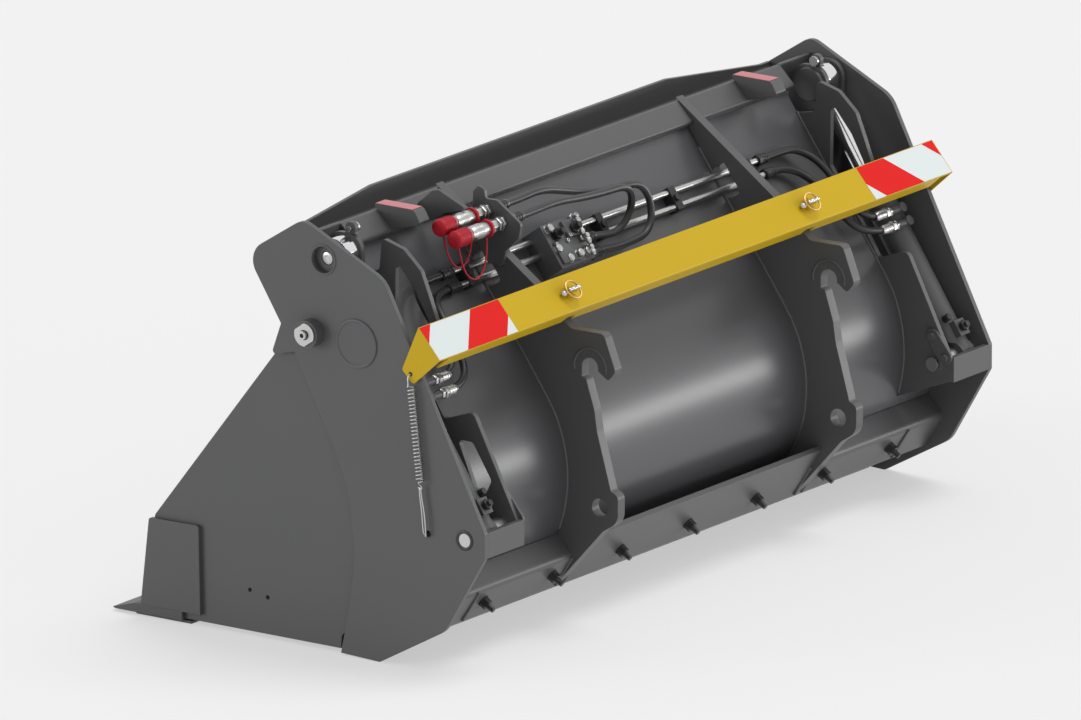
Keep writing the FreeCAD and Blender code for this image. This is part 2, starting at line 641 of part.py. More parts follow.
# Hydraulic cylinders, built along Z from the base pin and turned to the rod pin
span = math.hypot(ROD_PIN[0] - BASE_PIN[0], ROD_PIN[1] - BASE_PIN[1])
lean = math.degrees(math.atan2(BASE_PIN[0] - ROD_PIN[0], ROD_PIN[1] - BASE_PIN[1]))
barrel_r = S["barrel_diameter"] / 2
bore_r = S["barrel_bore"] / 2
rod_r = S["rod_diameter"] / 2
gland_length = 26.0
tube_end = S["barrel_reach"] - gland_length
base_eye_r = 34.0
port_off = 40.0
port_spots = (335.0, 303.0)
base_port_off = 46.0
rod_eye_r = S["rod_eye"] / 2
side_play = 13.0
end_play = 8.5
X = Vector(1, 0, 0)
UP = Vector(0, 0, 1)


def along_x(radius, length, y=0.0, z=0.0, x_middle=0.0):
    return Part.makeCylinder(radius, length, Vector(x_middle - length / 2, y, z), X)


def barrel_shape(side):
    eye = along_x(base_eye_r, S["eye_width"])
    shell = Part.makeCylinder(barrel_r, tube_end, Vector(0, 0, 0), UP)
    shell = shell.cut(along_x(base_eye_r - 0.5, 2 * barrel_r + 4)).fuse(eye)
    shell = shell.cut(Part.makeCylinder(bore_r, tube_end - 46, Vector(0, 0, 46), UP))
    for z in port_spots:
        shell = shell.fuse(Part.makeCylinder(11, port_off + 11 - barrel_r + 3,
                                             Vector(0, barrel_r - 3, z), Vector(0, 1, 0)))
        stub = Part.makeCylinder(9, eye_middle - channel_inner - 14, Vector(0, port_off, z),
                                 Vector(-side, 0, 0))
        shell = shell.fuse(stub)
    base_port = Part.makeBox(34, base_port_off - 28, 36, Vector(-17, 28, 30))
    shell = shell.fuse(base_port)
    bore = along_x((S["base_pin"] + S["pin_play"]) / 2, 60)
    return shell.cut(bore)


def rod_shape():
    stem = Part.makeCylinder(rod_r, span - rod_eye_r + 4 - 362, Vector(0, 0, 362), UP)
    eye = along_x(rod_eye_r, S["eye_width"], 0, span)
    pin = S["rod_pin"] / 2
    narrow = pin + end_play
    reach = side_play - end_play
    corners = [Vector(-30, sign * reach, span + end * narrow)
               for sign, end in ((-1, 1), (-1, -1), (1, -1), (1, 1))]
    left = Vector(-30, -reach - narrow, span)
    right = Vector(-30, reach + narrow, span)
    rim = Part.Wire([Part.Arc(corners[0], left, corners[1]).toShape(),
                     Part.LineSegment(corners[1], corners[2]).toShape(),
                     Part.Arc(corners[2], right, corners[3]).toShape(),
                     Part.LineSegment(corners[3], corners[0]).toShape()])
    hole = Part.Face(rim).extrude(Vector(60, 0, 0))
    return stem.fuse(eye).cut(hole)


def cylinder_place(side):
    return FreeCAD.Placement(at(side * eye_middle, *BASE_PIN), Rotation(X, lean))


gland = Part.makeCylinder(barrel_r + 3, gland_length, Vector(0, 0, tube_end), UP)
gland = gland.cut(Part.makeCylinder(rod_r + 0.05, gland_length, Vector(0, 0, tube_end), UP))
piston = Part.makeCylinder(bore_r - 0.05, 28, Vector(0, 0, 333.9), UP)
for word, side in SIDES:
    pieces = (("barrel", barrel_shape(side)), ("gland", gland), ("rod", rod_shape()), ("piston", piston))
    for kind, shape in pieces:
        shape.Placement = cylinder_place(side)
        shaped(f"{kind}_{word}", shape)


def from_barrel(side, z, x_off):
    """A point beside a barrel's port, in the part's frame."""
    return cylinder_place(side).multVec(Vector(x_off, port_off, z))


# Warning bar over the coupler hooks, on two studs with linchpins and two springs
face_top = (278.0, 54.0)
face_tilt = math.atan2(64, 55)
face_dir = (math.cos(face_tilt), -math.sin(face_tilt))
face_low = (face_top[0] + S["guard_face"] * face_dir[0], face_top[1] + S["guard_face"] * face_dir[1])
normal = (math.sin(face_tilt), math.cos(face_tilt))
gauge = S["guard_plate"]
leg = 45.0


def from_face(down, off):
    """A point of the bar's profile: down its face, off behind it."""
    return (face_top[0] + down * face_dir[0] - off * normal[0],
            face_top[1] + down * face_dir[1] - off * normal[1])


guard_half = S["guard_length"] / 2
bar_profile = [from_face(0, 0), (*from_face(S["guard_face"], 0), 5), from_face(S["guard_face"], leg),
               from_face(S["guard_face"] - gauge, leg), (*from_face(S["guard_face"] - gauge, gauge), 2),
               from_face(0, gauge)]
tab_profile = [from_face(0, 0), (236, -43, 6), (265, -71, 6), from_face(S["guard_face"], 0)]
bar = prism(bar_profile, -guard_half + gauge, guard_half - gauge)
leg_trim = 40.0
for side in (1, -1):
    low, high = sorted((side * guard_half, side * (guard_half - leg_trim)))
    bar = bar.cut(prism([from_face(S["guard_face"] + 2, gauge + 0.5), from_face(S["guard_face"] + 2, leg + 2),
                         from_face(40, leg + 2), from_face(40, gauge + 0.5)], low, high))
    low, high = sorted((side * guard_half, side * (guard_half - gauge)))
    bar = bar.fuse(prism(tab_profile, low, high))
    rib_room = plate_half + 4
    bar = bar.cut(prism([from_face(S["guard_face"] + 2, 26), from_face(S["guard_face"] + 2, leg + 2),
                         from_face(40, leg + 2), from_face(40, 26)],
                        side * coupler_x - rib_room, side * coupler_x + rib_room))
tab_hole = (258.0, -50.0)
bar = bar.cut(Part.makeCylinder(5, 2 * guard_half + 10, at(-guard_half - 5, *tab_hole), X))
stud_r = S["stud_diameter"] / 2
out = Vector(0, *normal)
studs = []
pins = []
stud_spots = []
doc.recompute()
for word, side in SIDES:
    seat = at(side * coupler_x, *from_face(S["guard_face"] / 2, 0))
    stud_spots.append(seat)
    shank = Part.makeCylinder(stud_r, 70 + 16, seat - out * 70, out)
    shoulder = Part.makeCylinder(stud_r + 5, 70 - gauge - 0.3, seat - out * 70, out)
    cross = Part.makeCylinder(4.1, 60, seat + out * 8 - X * 30, X)
    stud = shank.fuse(shoulder).cut(cross)
    stud = stud.cut(PARTS[f"coupler_plate_{word}"].Shape)
    solids = sorted(stud.Solids, key=lambda s: (s.CenterOfMass - seat).dot(out))
    studs.append(solids[-1])
    bar = bar.cut(Part.makeCylinder(stud_r + 0.2, 40, seat - out * 20, out))
    shaft = Part.makeCylinder(4, 40, seat + out * 8 - X * 18, X)
    ball = Part.makeSphere(7.0, seat + out * 8 + X * 25)
    pins.append(shaft.fuse(ball))
shaped("guard_bar", bar.removeSplitter())
shaped("guard_studs", Part.makeCompound(studs))
shaped("linchpins", Part.makeCompound(pins))
ring_major = 21.0
ring_minor = 2.0
for (word, side), seat in zip(SIDES, stud_spots):
    ring = Part.makeTorus(ring_major, ring_minor, seat + out * 16.5, out)
    shaped(f"pin_ring_{word}", ring)

# Springs that pull the bar's ends down: coil and long hook
spring_x = outer_face + 13.0
coil_r = 9.5
wire_r = 1.6
for word, side in SIDES:
    x = side * spring_x
    coil_top = at(x, 262, -72)
    coil_low = at(x, 286, -280)
    hole = at(side * (outer_face - 6), *spring_hole)
    coil = rod_between(coil_top, coil_low, coil_r, coil_r - 3.2)
    top_eye = rod_between(at(x, tab_hole[0] + 1, tab_hole[1] - 3), coil_top + Vector(0, 0.5, -4), wire_r)
    peg = rod_between(at(side * (guard_half - gauge - 2.5), tab_hole[0] + 1, tab_hole[1] - 3),
                      at(x, tab_hole[0] + 1, tab_hole[1] - 3), wire_r)
    tail_end = at(x, spring_hole[0], spring_hole[1])
    tail = rod_between(coil_low + Vector(0, -0.4, 4), tail_end, wire_r)
    hook = rod_between(tail_end + Vector(side * 1.5, 0, 0), hole, wire_r)
    plug = Part.makeCylinder(coil_r - 3.2, 5, coil_top, coil_low - coil_top)
    foot = Part.makeCylinder(coil_r - 3.2, 5, coil_low, coil_top - coil_low)
    shaped(f"guard_spring_{word}", coil.fuse([plug, foot, top_eye, peg, tail, hook]).removeSplitter())

# Quick couplings on their bracket, with dust caps that pull off
bracket_gauge = 8.0
bracket_x = coupler_x + plate_half + 0.1
COUPLINGS = ((110.0, 176.0), (149.0, 156.0))
stem_r = 11.0
bracket_outline = [(70, 128, 8), (74, 214, 8), (86, 228, 8), (102, 222, 8), (106, 202, 6), (134, 203, 14),
                   (197, 160, 12), (192, 128, 12), (158, 96, 10), (150, 60, 8), (112, 64, 8)]
fin_outline = [(-6, 189.1), (-3, 197, 2), (34, 229, 6), (48, 233, 6), (116, 204, 4), (114, 197, 2),
               (70, 186, 20), (24, 162, 3), (18.45, 165.2)]
fin_x = bracket_x + 92
group("coupling_bracket", [
    plate("coupling_plate", [bracket_outline], f"{bracket_x}", f"{bracket_gauge}",
          circles=[(*spot, stem_r + 0.1, None) for spot in COUPLINGS]),
    plate("coupling_fin", [fin_outline], f"{fin_x}", f"{bracket_gauge}")])
PARTS.pop("coupling_plate")
PARTS.pop("coupling_fin")
couplings = []
cap_seat = bracket_x + 138.0
for number, (y, z) in enumerate(COUPLINGS):
    couplings.append(turned(f"coupling_{number}", [
        (bracket_x - 34, 0), (bracket_x - 34, 12), (bracket_x - 12, 12), (bracket_x - 12, stem_r),
        (bracket_x + bracket_gauge + 0.1, stem_r), (bracket_x + bracket_gauge + 0.1, 16),
        (bracket_x + 40, 16), (bracket_x + 44, 14), (bracket_x + 84, 14), (bracket_x + 86, 17),
        (bracket_x + 128, 17), (bracket_x + 130, 13), (cap_seat + 22, 13), (cap_seat + 22, 0)],
        f"{PIVOT_Y} + {y}", f"{PIVOT_Z} + {z}"))
group("quick_couplings", couplings)
for word, (y, z) in zip(("upper", "lower"), COUPLINGS):
    cap = turned(f"dust_cap_{word}", [
        (cap_seat, 13.2), (cap_seat, 17), (cap_seat + 6, 17), (cap_seat + 8, 19.5), (cap_seat + 46, 19.5),
        (cap_seat + 50, 15), (cap_seat + 50, 0), (cap_seat + 23, 0), (cap_seat + 23, 13.2)],
        f"{PIVOT_Y} + {y}", f"{PIVOT_Z} + {z}")
    keep(f"dust_cap_{word}", cap)

# Valve block on the back plate, with its fittings, steel pipes and clamps
valve_low = 150.0
valve_high = 270.0
nut = 22.0
block_profile = [on_back(105, 0.1), on_back(105, 58), on_back(208, 58), on_back(208, 0.1)]
shaped("valve_block", prism(block_profile, valve_low, valve_high))
pipe_a = on_back(124, 16)
pipe_b = on_back(158, 16)
feed_a = on_back(196, 40)
feed_b = on_back(160, 40)
pipe_r = S["pipe_diameter"] / 2
hose_r = S["hose_diameter"] / 2
nut_r = hose_r + 3
pipe_end = 560.0
hose_from = 600.0


def bar_x(radius, x_low, x_high, spot):
    low, high = sorted((x_low, x_high))
    return Part.makeCylinder(radius, high - low, at(low, *spot), X)


fittings = [bar_x(nut_r, valve_low - nut, valve_low, feed_a), bar_x(nut_r, valve_low - nut, valve_low, feed_b)]
pipes = []
clamps = []
clamp_profile = [on_back(114, 0.1), on_back(114, 26), on_back(168, 26), on_back(168, 0.1)]
for spot in (pipe_a, pipe_b):
    for start, end, side in ((valve_high, pipe_end, 1), (valve_low, -pipe_end, -1)):
        pipes.append(bar_x(pipe_r, start, end, spot))
        fittings.append(bar_x(nut_r, end, end + side * (hose_from - pipe_end), spot))
for x in (520.0, 30.0, -240.0, -520.0):
    clamp = prism(clamp_profile, x - 11, x + 11)
    for spot in (pipe_a, pipe_b):
        clamp = clamp.cut(bar_x(pipe_r + 0.05, x - 20, x + 20, spot))
    screw = at(x, *on_back(141, 26))
    clamps.append(clamp.fuse(Part.makeCylinder(8, 6, screw, Vector(0, *on_back(0, 1)) - Vector(0, *on_back(0, 0)))))
for x in (180.0, 240.0):
    base = at(x, *on_back(135, 58))
    rise = Vector(0, *on_back(0, 1)) - Vector(0, *on_back(0, 0))
    fittings.append(Part.makeCylinder(13, 20, base, rise).fuse(Part.makeCylinder(8, 34, base, rise)))
shaped("steel_pipes", Part.makeCompound(pipes))
shaped("pipe_clamps", Part.makeCompound(clamps))
shaped("hose_fittings", Part.makeCompound(fittings))

# Hoses, as straight runs joined by arcs
COUPLING_END = bracket_x - 34
HOSES = {
    "hose_supply_a": [
        (COUPLING_END, 110, 176), (348, 110, 176), (266, 111, 181), (182, 112, 160), (100, 114, 138),
        (15, 117, 127), (-73, 121, 125), (-105, 128, 93), (-105, 138, 47), (-73, 146, 15), (-5, 148, 11),
        (44, 149, 11.5), (88, *feed_a), (valve_low - nut, *feed_a)],
    "hose_supply_b": [
        (COUPLING_END, 149, 156), (350, 149, 156), (270, 151, 160), (185, 152, 150), (98, 152, 143),
        (9, 150, 140), (-21, 146, 110), (-21, 138, 68), (9, 131, 38), (52, 129, 38),
        (92, *feed_b), (valve_low - nut, *feed_b)],
}
port_low = channel_inner + 14
for word, side in SIDES:
    ports = [from_barrel(side, spot, 0) for spot in port_spots]
    ports = [(spot.y - pivot_y, spot.z - S["pivot_height"]) for spot in ports]
    HOSES[f"hose_{word}_a"] = [
        (side * port_low, *ports[0]), (side * 772, *ports[0]), (side * 738, 212, -56), (side * 735, 140, 28),
        (side * 700, 94, 60), (side * 650, *pipe_a), (side * hose_from, *pipe_a)]
    HOSES[f"hose_{word}_b"] = [
        (side * port_low, *ports[1]), (side * 764, *ports[1]), (side * 706, 230, -90), (side * 694, 168, -12),
        (side * 656, *pipe_b), (side * hose_from, *pipe_b)]
for name, route in HOSES.items():
    shaped(name, tube(name, [at(*spot) for spot in route], S["hose_diameter"]))

# Thin straps that keep the dust caps on their couplings
strap_x = bracket_x + 66
cap_x = cap_seat + 28
for word, (y, z) in zip(("upper", "lower"), COUPLINGS):
    route = [(strap_x, y, z - 14.6), (strap_x + 3, y + 5, z - 50), (strap_x + 24, y + 10, z - 87),
             (strap_x + 54, y + 12, z - 101), (cap_x - 18, y + 8, z - 84), (cap_x - 4, y + 3, z - 51),
             (cap_x, y, z - 20.2)]
    shaped(f"cap_strap_{word}", tube(f"cap_strap_{word}", [at(*spot) for spot in route], S["tether_diameter"]))

doc.recompute()

failed = [o.Name for o in doc.Objects if any(s in o.State for s in ("Invalid", "Error"))]
if failed:
    raise RuntimeError(f"failed features: {failed}")
for name, obj in PARTS.items():
    if obj.Shape.isNull() or not obj.Shape.isValid():
        raise RuntimeError(f"bad shape: {name}")
os.makedirs("parts", exist_ok=True)
for name, obj in PARTS.items():
    obj.Shape.exportStep(f"parts/{name}.step")
print(len(PARTS), "nodes written")
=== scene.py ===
import math

import bmesh
import bpy
from mathutils import Matrix, Vector


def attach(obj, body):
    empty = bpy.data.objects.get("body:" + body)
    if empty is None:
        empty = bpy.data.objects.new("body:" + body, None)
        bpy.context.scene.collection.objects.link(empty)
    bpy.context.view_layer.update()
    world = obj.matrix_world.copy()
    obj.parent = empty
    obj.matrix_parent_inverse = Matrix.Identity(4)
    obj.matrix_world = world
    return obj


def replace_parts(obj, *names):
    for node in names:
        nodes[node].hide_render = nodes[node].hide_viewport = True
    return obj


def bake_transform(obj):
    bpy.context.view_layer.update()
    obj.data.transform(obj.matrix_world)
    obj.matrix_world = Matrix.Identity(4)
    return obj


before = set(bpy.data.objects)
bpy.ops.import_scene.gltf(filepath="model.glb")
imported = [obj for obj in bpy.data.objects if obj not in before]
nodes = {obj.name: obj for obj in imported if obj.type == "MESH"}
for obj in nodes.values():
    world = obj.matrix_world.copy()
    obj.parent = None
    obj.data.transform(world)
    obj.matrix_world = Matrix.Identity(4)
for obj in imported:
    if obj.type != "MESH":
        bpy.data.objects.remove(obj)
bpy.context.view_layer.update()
scene = bpy.context.scene

# Millimetres from the clam pivot, as on the maker's drawing, to metres in the frame
PIVOT_Y = 41.5
PIVOT_Z = 693.0


def at(x, y, z):
    return Vector((x, y + PIVOT_Y, z + PIVOT_Z)) / 1000


def mm(value):
    return value / 1000


# Camera
VIEW_TURN = math.radians(125.3)
VIEW_LIFT = math.radians(15.18)
VIEW_DISTANCE = 64.0
VIEW_WIDTH = 2.3
LOOK_AT = Vector((0.0, -0.0373, 0.4115))
SENSOR = 36.0
towards = Vector((math.sin(VIEW_TURN) * math.cos(VIEW_LIFT),
                  -math.cos(VIEW_TURN) * math.cos(VIEW_LIFT), math.sin(VIEW_LIFT)))
camera_data = bpy.data.cameras.new("camera")
camera_data.sensor_width = SENSOR
camera_data.lens = SENSOR * VIEW_DISTANCE / VIEW_WIDTH
camera_data.clip_end = 200.0
camera = bpy.data.objects.new("camera", camera_data)
camera.location = LOOK_AT + towards * VIEW_DISTANCE
camera.rotation_euler = towards.to_track_quat("Z", "Y").to_euler()
scene.collection.objects.link(camera)
scene.camera = camera
scene.view_settings.view_transform = "Standard"


# Node helpers
def new_material(name):
    material = bpy.data.materials.new(name)
    material.use_nodes = True
    tree = material.node_tree
    tree.nodes.clear()
    output = tree.nodes.new("ShaderNodeOutputMaterial")
    shader = tree.nodes.new("ShaderNodeBsdfPrincipled")
    tree.links.new(shader.outputs[0], output.inputs[0])
    return material, tree, shader


def add_node(tree, kind, **settings):
    node = tree.nodes.new(kind)
    for key, value in settings.items():
        if key in node.inputs:
            node.inputs[key].default_value = value
        else:
            setattr(node, key, value)
    return node


def new_group(name, inputs, outputs):
    group = bpy.data.node_groups.new(name, "ShaderNodeTree")
    for label, kind, value in inputs:
        socket = group.interface.new_socket(label, in_out="INPUT", socket_type=kind)
        if value is not None:
            socket.default_value = value
    for label, kind in outputs:
        group.interface.new_socket(label, in_out="OUTPUT", socket_type=kind)
    entry = group.nodes.new("NodeGroupInput")
    leave = group.nodes.new("NodeGroupOutput")
    return group, entry, leave


def math_node(tree, operation, first, second=None, clamp=False):
    node = tree.nodes.new("ShaderNodeMath")
    node.operation = operation
    node.use_clamp = clamp
    for index, value in enumerate((first, second)):
        if value is None:
            continue
        if isinstance(value, (int, float)):
            node.inputs[index].default_value = value
        else:
            tree.links.new(value, node.inputs[index])
    return node.outputs[0]


def mix_colour(tree, factor, first, second):
    node = tree.nodes.new("ShaderNodeMix")
    node.data_type = "RGBA"
    for index, value in ((0, factor), (6, first), (7, second)):
        if isinstance(value, (int, float, tuple)):
            node.inputs[index].default_value = value
        else:
            tree.links.new(value, node.inputs[index])
    return node.outputs[2]


def build_edge_group():
    """Rounded-edge normal and a mask that is 1 on sharp edges."""
    group, entry, leave = new_group(
        "edge_round",
        [("Radius", "NodeSocketFloat", 0.002), ("Strength", "NodeSocketFloat", 6.0)],
        [("Normal", "NodeSocketVector"), ("Edge", "NodeSocketFloat")])
    bevel = add_node(group, "ShaderNodeBevel", samples=6)
    group.links.new(entry.outputs["Radius"], bevel.inputs["Radius"])
    facing = group.nodes.new("ShaderNodeNewGeometry")
    dot = group.nodes.new("ShaderNodeVectorMath")
    dot.operation = "DOT_PRODUCT"
    group.links.new(bevel.outputs[0], dot.inputs[0])
    group.links.new(facing.outputs["Normal"], dot.inputs[1])
    away = math_node(group, "SUBTRACT", 1.0, dot.outputs["Value"])
    edge = math_node(group, "MULTIPLY", away, entry.outputs["Strength"], clamp=True)
    group.links.new(bevel.outputs[0], leave.inputs["Normal"])
    group.links.new(edge, leave.inputs["Edge"])
    return group


def build_paint_group():
    """Paint surface: slow colour drift, fine orange peel, roughness change, and a lighter colour on sharp
    edges mottled by noise, a painted edge highlight with some wear.
    """
    group, entry, leave = new_group(
        "sprayed_surface",
        [("Colour", "NodeSocketColor", (0.1, 0.1, 0.1, 1)),
         ("Drift", "NodeSocketFloat", 0.12),
         ("Roughness", "NodeSocketFloat", 0.4),
         ("Edge", "NodeSocketFloat", 0.0),
         ("Edge Highlight Colour", "NodeSocketColor", (0.2, 0.2, 0.2, 1))],
        [("Colour", "NodeSocketColor"), ("Roughness", "NodeSocketFloat"), ("Height", "NodeSocketFloat")])
    place = group.nodes.new("ShaderNodeTexCoord")
    slow = add_node(group, "ShaderNodeTexNoise", Scale=3.5, Detail=3.0)
    fine = add_node(group, "ShaderNodeTexNoise", Scale=420.0, Detail=2.0)
    dust = add_node(group, "ShaderNodeTexNoise", Scale=24.0, Detail=5.0, Roughness=0.7)
    for noise in (slow, fine, dust):
        group.links.new(place.outputs["Object"], noise.inputs["Vector"])
    centred = math_node(group, "SUBTRACT", slow.outputs[0], 0.5)
    drift = math_node(group, "MULTIPLY", centred, entry.outputs["Drift"])
    lift = math_node(group, "ADD", drift, 1.0)
    toned = group.nodes.new("ShaderNodeVectorMath")
    toned.operation = "SCALE"
    group.links.new(entry.outputs["Colour"], toned.inputs[0])
    group.links.new(lift, toned.inputs["Scale"])
    # Sharp edges are mixed towards a lighter colour, mottled by noise: a painted edge highlight with some
    # wear
    edge_highlight_and_wear = math_node(group, "MULTIPLY", entry.outputs["Edge"], dust.outputs[0], clamp=True)
    highlit_and_worn = mix_colour(group, edge_highlight_and_wear, toned.outputs[0], entry.outputs["Edge Highlight Colour"])
    rough_shift = math_node(group, "MULTIPLY", math_node(group, "SUBTRACT", dust.outputs[0], 0.5), 0.05)
    rough = math_node(group, "ADD", entry.outputs["Roughness"], rough_shift, clamp=True)
    group.links.new(highlit_and_worn, leave.inputs["Colour"])
    group.links.new(rough, leave.inputs["Roughness"])
    group.links.new(fine.outputs[0], leave.inputs["Height"])
    return group


edge_round = build_edge_group()
sprayed_surface = build_paint_group()


def surface(name, colour, roughness, metallic=0.0, radius=1.5, drift=0.1, peel=0.02, edge=0.5,
            edge_highlight_colour=None, specular=0.5):
    """A finish with rounded edges, a lighter colour painted on sharp edges as a highlight, colour drift and a
    fine sprayed or rolled grain.
    """
    material, tree, shader = new_material(name)
    shader.inputs["Metallic"].default_value = metallic
    shader.inputs["Specular IOR Level"].default_value = specular
    rounded = add_node(tree, "ShaderNodeGroup", node_tree=edge_round)
    rounded.inputs["Radius"].default_value = mm(radius)
    sprayed = add_node(tree, "ShaderNodeGroup", node_tree=sprayed_surface)
    sprayed.inputs["Colour"].default_value = (*colour, 1)
    sprayed.inputs["Drift"].default_value = drift
    sprayed.inputs["Roughness"].default_value = roughness
    # The edge colour defaults to nearly twice the face colour, a painted highlight on the edges
    sprayed.inputs["Edge Highlight Colour"].default_value = (*(edge_highlight_colour or [min(1, c * 1.9) for c in colour]), 1)
    tree.links.new(math_node(tree, "MULTIPLY", rounded.outputs["Edge"], edge), sprayed.inputs["Edge"])
    bump = add_node(tree, "ShaderNodeBump", Strength=peel, Distance=0.001)
    tree.links.new(sprayed.outputs["Height"], bump.inputs["Height"])
    tree.links.new(rounded.outputs["Normal"], bump.inputs["Normal"])
    tree.links.new(sprayed.outputs["Colour"], shader.inputs["Base Color"])
    tree.links.new(sprayed.outputs["Roughness"], shader.inputs["Roughness"])
    tree.links.new(bump.outputs[0], shader.inputs["Normal"])
    return material


# Every finish but the stickers and marker strips gets lighter sharp edges, a painted edge highlight
dark_paint = surface("dark_paint", (0.0931, 0.094, 0.0969), 0.42, radius=2.0, peel=0.03, specular=0.4)
shell_paint = surface("shell_paint", (0.088, 0.089, 0.094), 0.29, radius=2.0, peel=0.012, specular=0.5)
wear_steel = surface("wear_steel", (0.085, 0.086, 0.088), 0.5, radius=2.0, peel=0.08, specular=0.4)
yellow_paint = surface("yellow_paint", (0.6, 0.4, 0.012), 0.42, radius=1.2, peel=0.03, drift=0.06,
                       edge_highlight_colour=(0.75, 0.55, 0.1), specular=0.16)
zinc_steel = surface("zinc_steel", (0.52, 0.52, 0.51), 0.3, metallic=1.0, radius=0.6, drift=0.2,
                     peel=0.1)
chrome_rod = surface("chrome_rod", (0.78, 0.78, 0.79), 0.12, metallic=1.0, radius=0.8, drift=0.05,
                     peel=0.01)
yellow_zinc = surface("yellow_zinc", (0.66, 0.42, 0.16), 0.34, metallic=1.0, radius=0.5, drift=0.25,
                      peel=0.08)
black_steel = surface("black_steel", (0.035, 0.035, 0.037), 0.38, metallic=0.4, radius=0.6, drift=0.2,
                      peel=0.06)
cast_grey = surface("cast_grey", (0.13, 0.133, 0.138), 0.5, metallic=0.2, radius=0.8, drift=0.2, peel=0.1)
hose_rubber = surface("hose_rubber", (0.018, 0.018, 0.019), 0.42, radius=0.3, drift=0.25, peel=0.12)
red_rubber = surface("red_rubber", (0.47, 0.012, 0.026), 0.45, radius=0.6, drift=0.12, peel=0.04,
                     edge_highlight_colour=(0.7, 0.06, 0.08), specular=0.25)
sticker_red = surface("sticker_red", (0.76, 0.008, 0.006), 0.4, radius=0.2, drift=0.05, peel=0.01, edge=0.0,
                      specular=0.15)
sticker_white = surface("sticker_white", (0.74, 0.8, 0.8), 0.4, radius=0.2, drift=0.05, peel=0.01, edge=0.0,
                        specular=0.15)
weld_paint = surface("weld_paint", (0.098, 0.099, 0.102), 0.38, radius=0.5, peel=0.25, specular=0.45)
marker_red = surface("marker_red", (0.62, 0.13, 0.15), 0.3, radius=0.3, drift=0.15, peel=0.03, edge=0.0)

FINISH = {}
for name in nodes:
    FINISH[name] = dark_paint
FINISH["back_shell"] = shell_paint
for name in ("cutting_edge", "skid_strips", "moldboard_edge"):
    FINISH[name] = wear_steel
for name in ("quick_couplings", "steel_pipes", "pivot_washers", "base_pins", "keeper_bolts",
             "piston_left", "piston_right", "linchpins", "guard_spring_left", "guard_spring_right"):
    FINISH[name] = zinc_steel
for name in ("rod_left", "rod_right"):
    FINISH[name] = chrome_rod
for name in ("pin_ring_left", "pin_ring_right"):
    FINISH[name] = yellow_zinc
for name in ("valve_block", "hose_fittings", "pipe_clamps", "edge_bolts"):
    FINISH[name] = black_steel
for name in ("dust_cap_upper", "dust_cap_lower", "cap_strap_upper", "cap_strap_lower"):
    FINISH[name] = red_rubber
FINISH["guard_bar"] = yellow_paint
FINISH["guard_studs"] = yellow_paint
for name, obj in nodes.items():
    if name.startswith("hose_") and name != "hose_fittings":
        FINISH[name] = hose_rubber
    obj.data.materials.clear()
    obj.data.materials.append(FINISH[name])


# Piece helpers
def finish_piece(name, bm, material, body="moldboard", smooth=None):
    """The mesh of bm as an object at the origin that rides on a body."""
    mesh = bpy.data.meshes.new(name)
    bmesh.ops.recalc_face_normals(bm, faces=bm.faces[:])
    bm.to_mesh(mesh)
    bm.free()
    mesh.materials.append(material)
    obj = bpy.data.objects.new(name, mesh)
    scene.collection.objects.link(obj)
    if smooth is not None:
        mesh.shade_smooth()
        mesh.set_sharp_from_angle(angle=math.radians(smooth))
    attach(obj, body)
    return obj


def turned(bm, profile, start, axis, steps=32):
    """Spin a profile of (along, radius) in millimetres about an axis through start."""
    before = set(bm.verts)
    turn = Vector((0, 0, 1)).rotation_difference(Vector(axis)).to_matrix().to_4x4()
    place = Matrix.Translation(start) @ turn
    ring = [bm.verts.new((mm(radius), 0, mm(along))) for along, radius in profile]
    edges = [bm.edges.new(pair) for pair in zip(ring, ring[1:])]
    bmesh.ops.spin(bm, geom=ring + edges, cent=(0, 0, 0), axis=(0, 0, 1), angle=math.tau,
                   steps=steps, use_merge=True)
    fresh = [v for v in bm.verts if v not in before]
    bmesh.ops.remove_doubles(bm, verts=fresh, dist=1e-6)
    fresh = [v for v in bm.verts if v not in before]
    bmesh.ops.transform(bm, matrix=place, verts=fresh)
    return fresh


def hexagon(bm, start, axis, across, height, chamfer=0.8, spin=0.0):
    """A hexagonal head or nut with its corners broken."""
    turn = Vector((0, 0, 1)).rotation_difference(Vector(axis)).to_matrix().to_4x4()
    radius = mm(across / 2 / math.cos(math.radians(30)))
    place = Matrix.Translation(start) @ turn @ Matrix.Rotation(spin, 4, "Z")
    made = bmesh.ops.create_cone(bm, cap_ends=True, segments=6, radius1=radius, radius2=radius,
                                 depth=mm(height), matrix=place @ Matrix.Translation((0, 0, mm(height / 2))))
    edges = list({e for v in made["verts"] for e in v.link_edges})
    bmesh.ops.bevel(bm, geom=edges, offset=mm(chamfer), offset_type="OFFSET", segments=2, profile=0.5,
                    affect="EDGES", material=-1)


def sheet_prism(bm, outline, lift):
    """A flat outline of frame points given a thickness along lift."""
    corners = [bm.verts.new(point) for point in outline]
    face = bm.faces.new(corners)
    grown = bmesh.ops.extrude_face_region(bm, geom=[face])
    top = [item for item in grown["geom"] if isinstance(item, bmesh.types.BMVert)]
    bmesh.ops.translate(bm, verts=top, vec=lift)
    return corners + top


def spline_object(name, route, diameter, material, steps=10, sides=5):
    """A round cord on a NURBS spline through its control points."""
    curve = bpy.data.curves.new(name, "CURVE")
    curve.dimensions = "3D"
    curve.bevel_depth = mm(diameter / 2)
    curve.bevel_resolution = sides
    curve.use_fill_caps = True
    curve.resolution_u = steps
    spline = curve.splines.new("NURBS")
    spline.points.add(len(route) - 1)
    for point, spot in zip(spline.points, route):
        point.co = (*spot, 1)
    spline.order_u = 3
    spline.use_endpoint_u = True
    curve.materials.append(material)
    obj = bpy.data.objects.new(name, curve)
    scene.collection.objects.link(obj)
    return obj


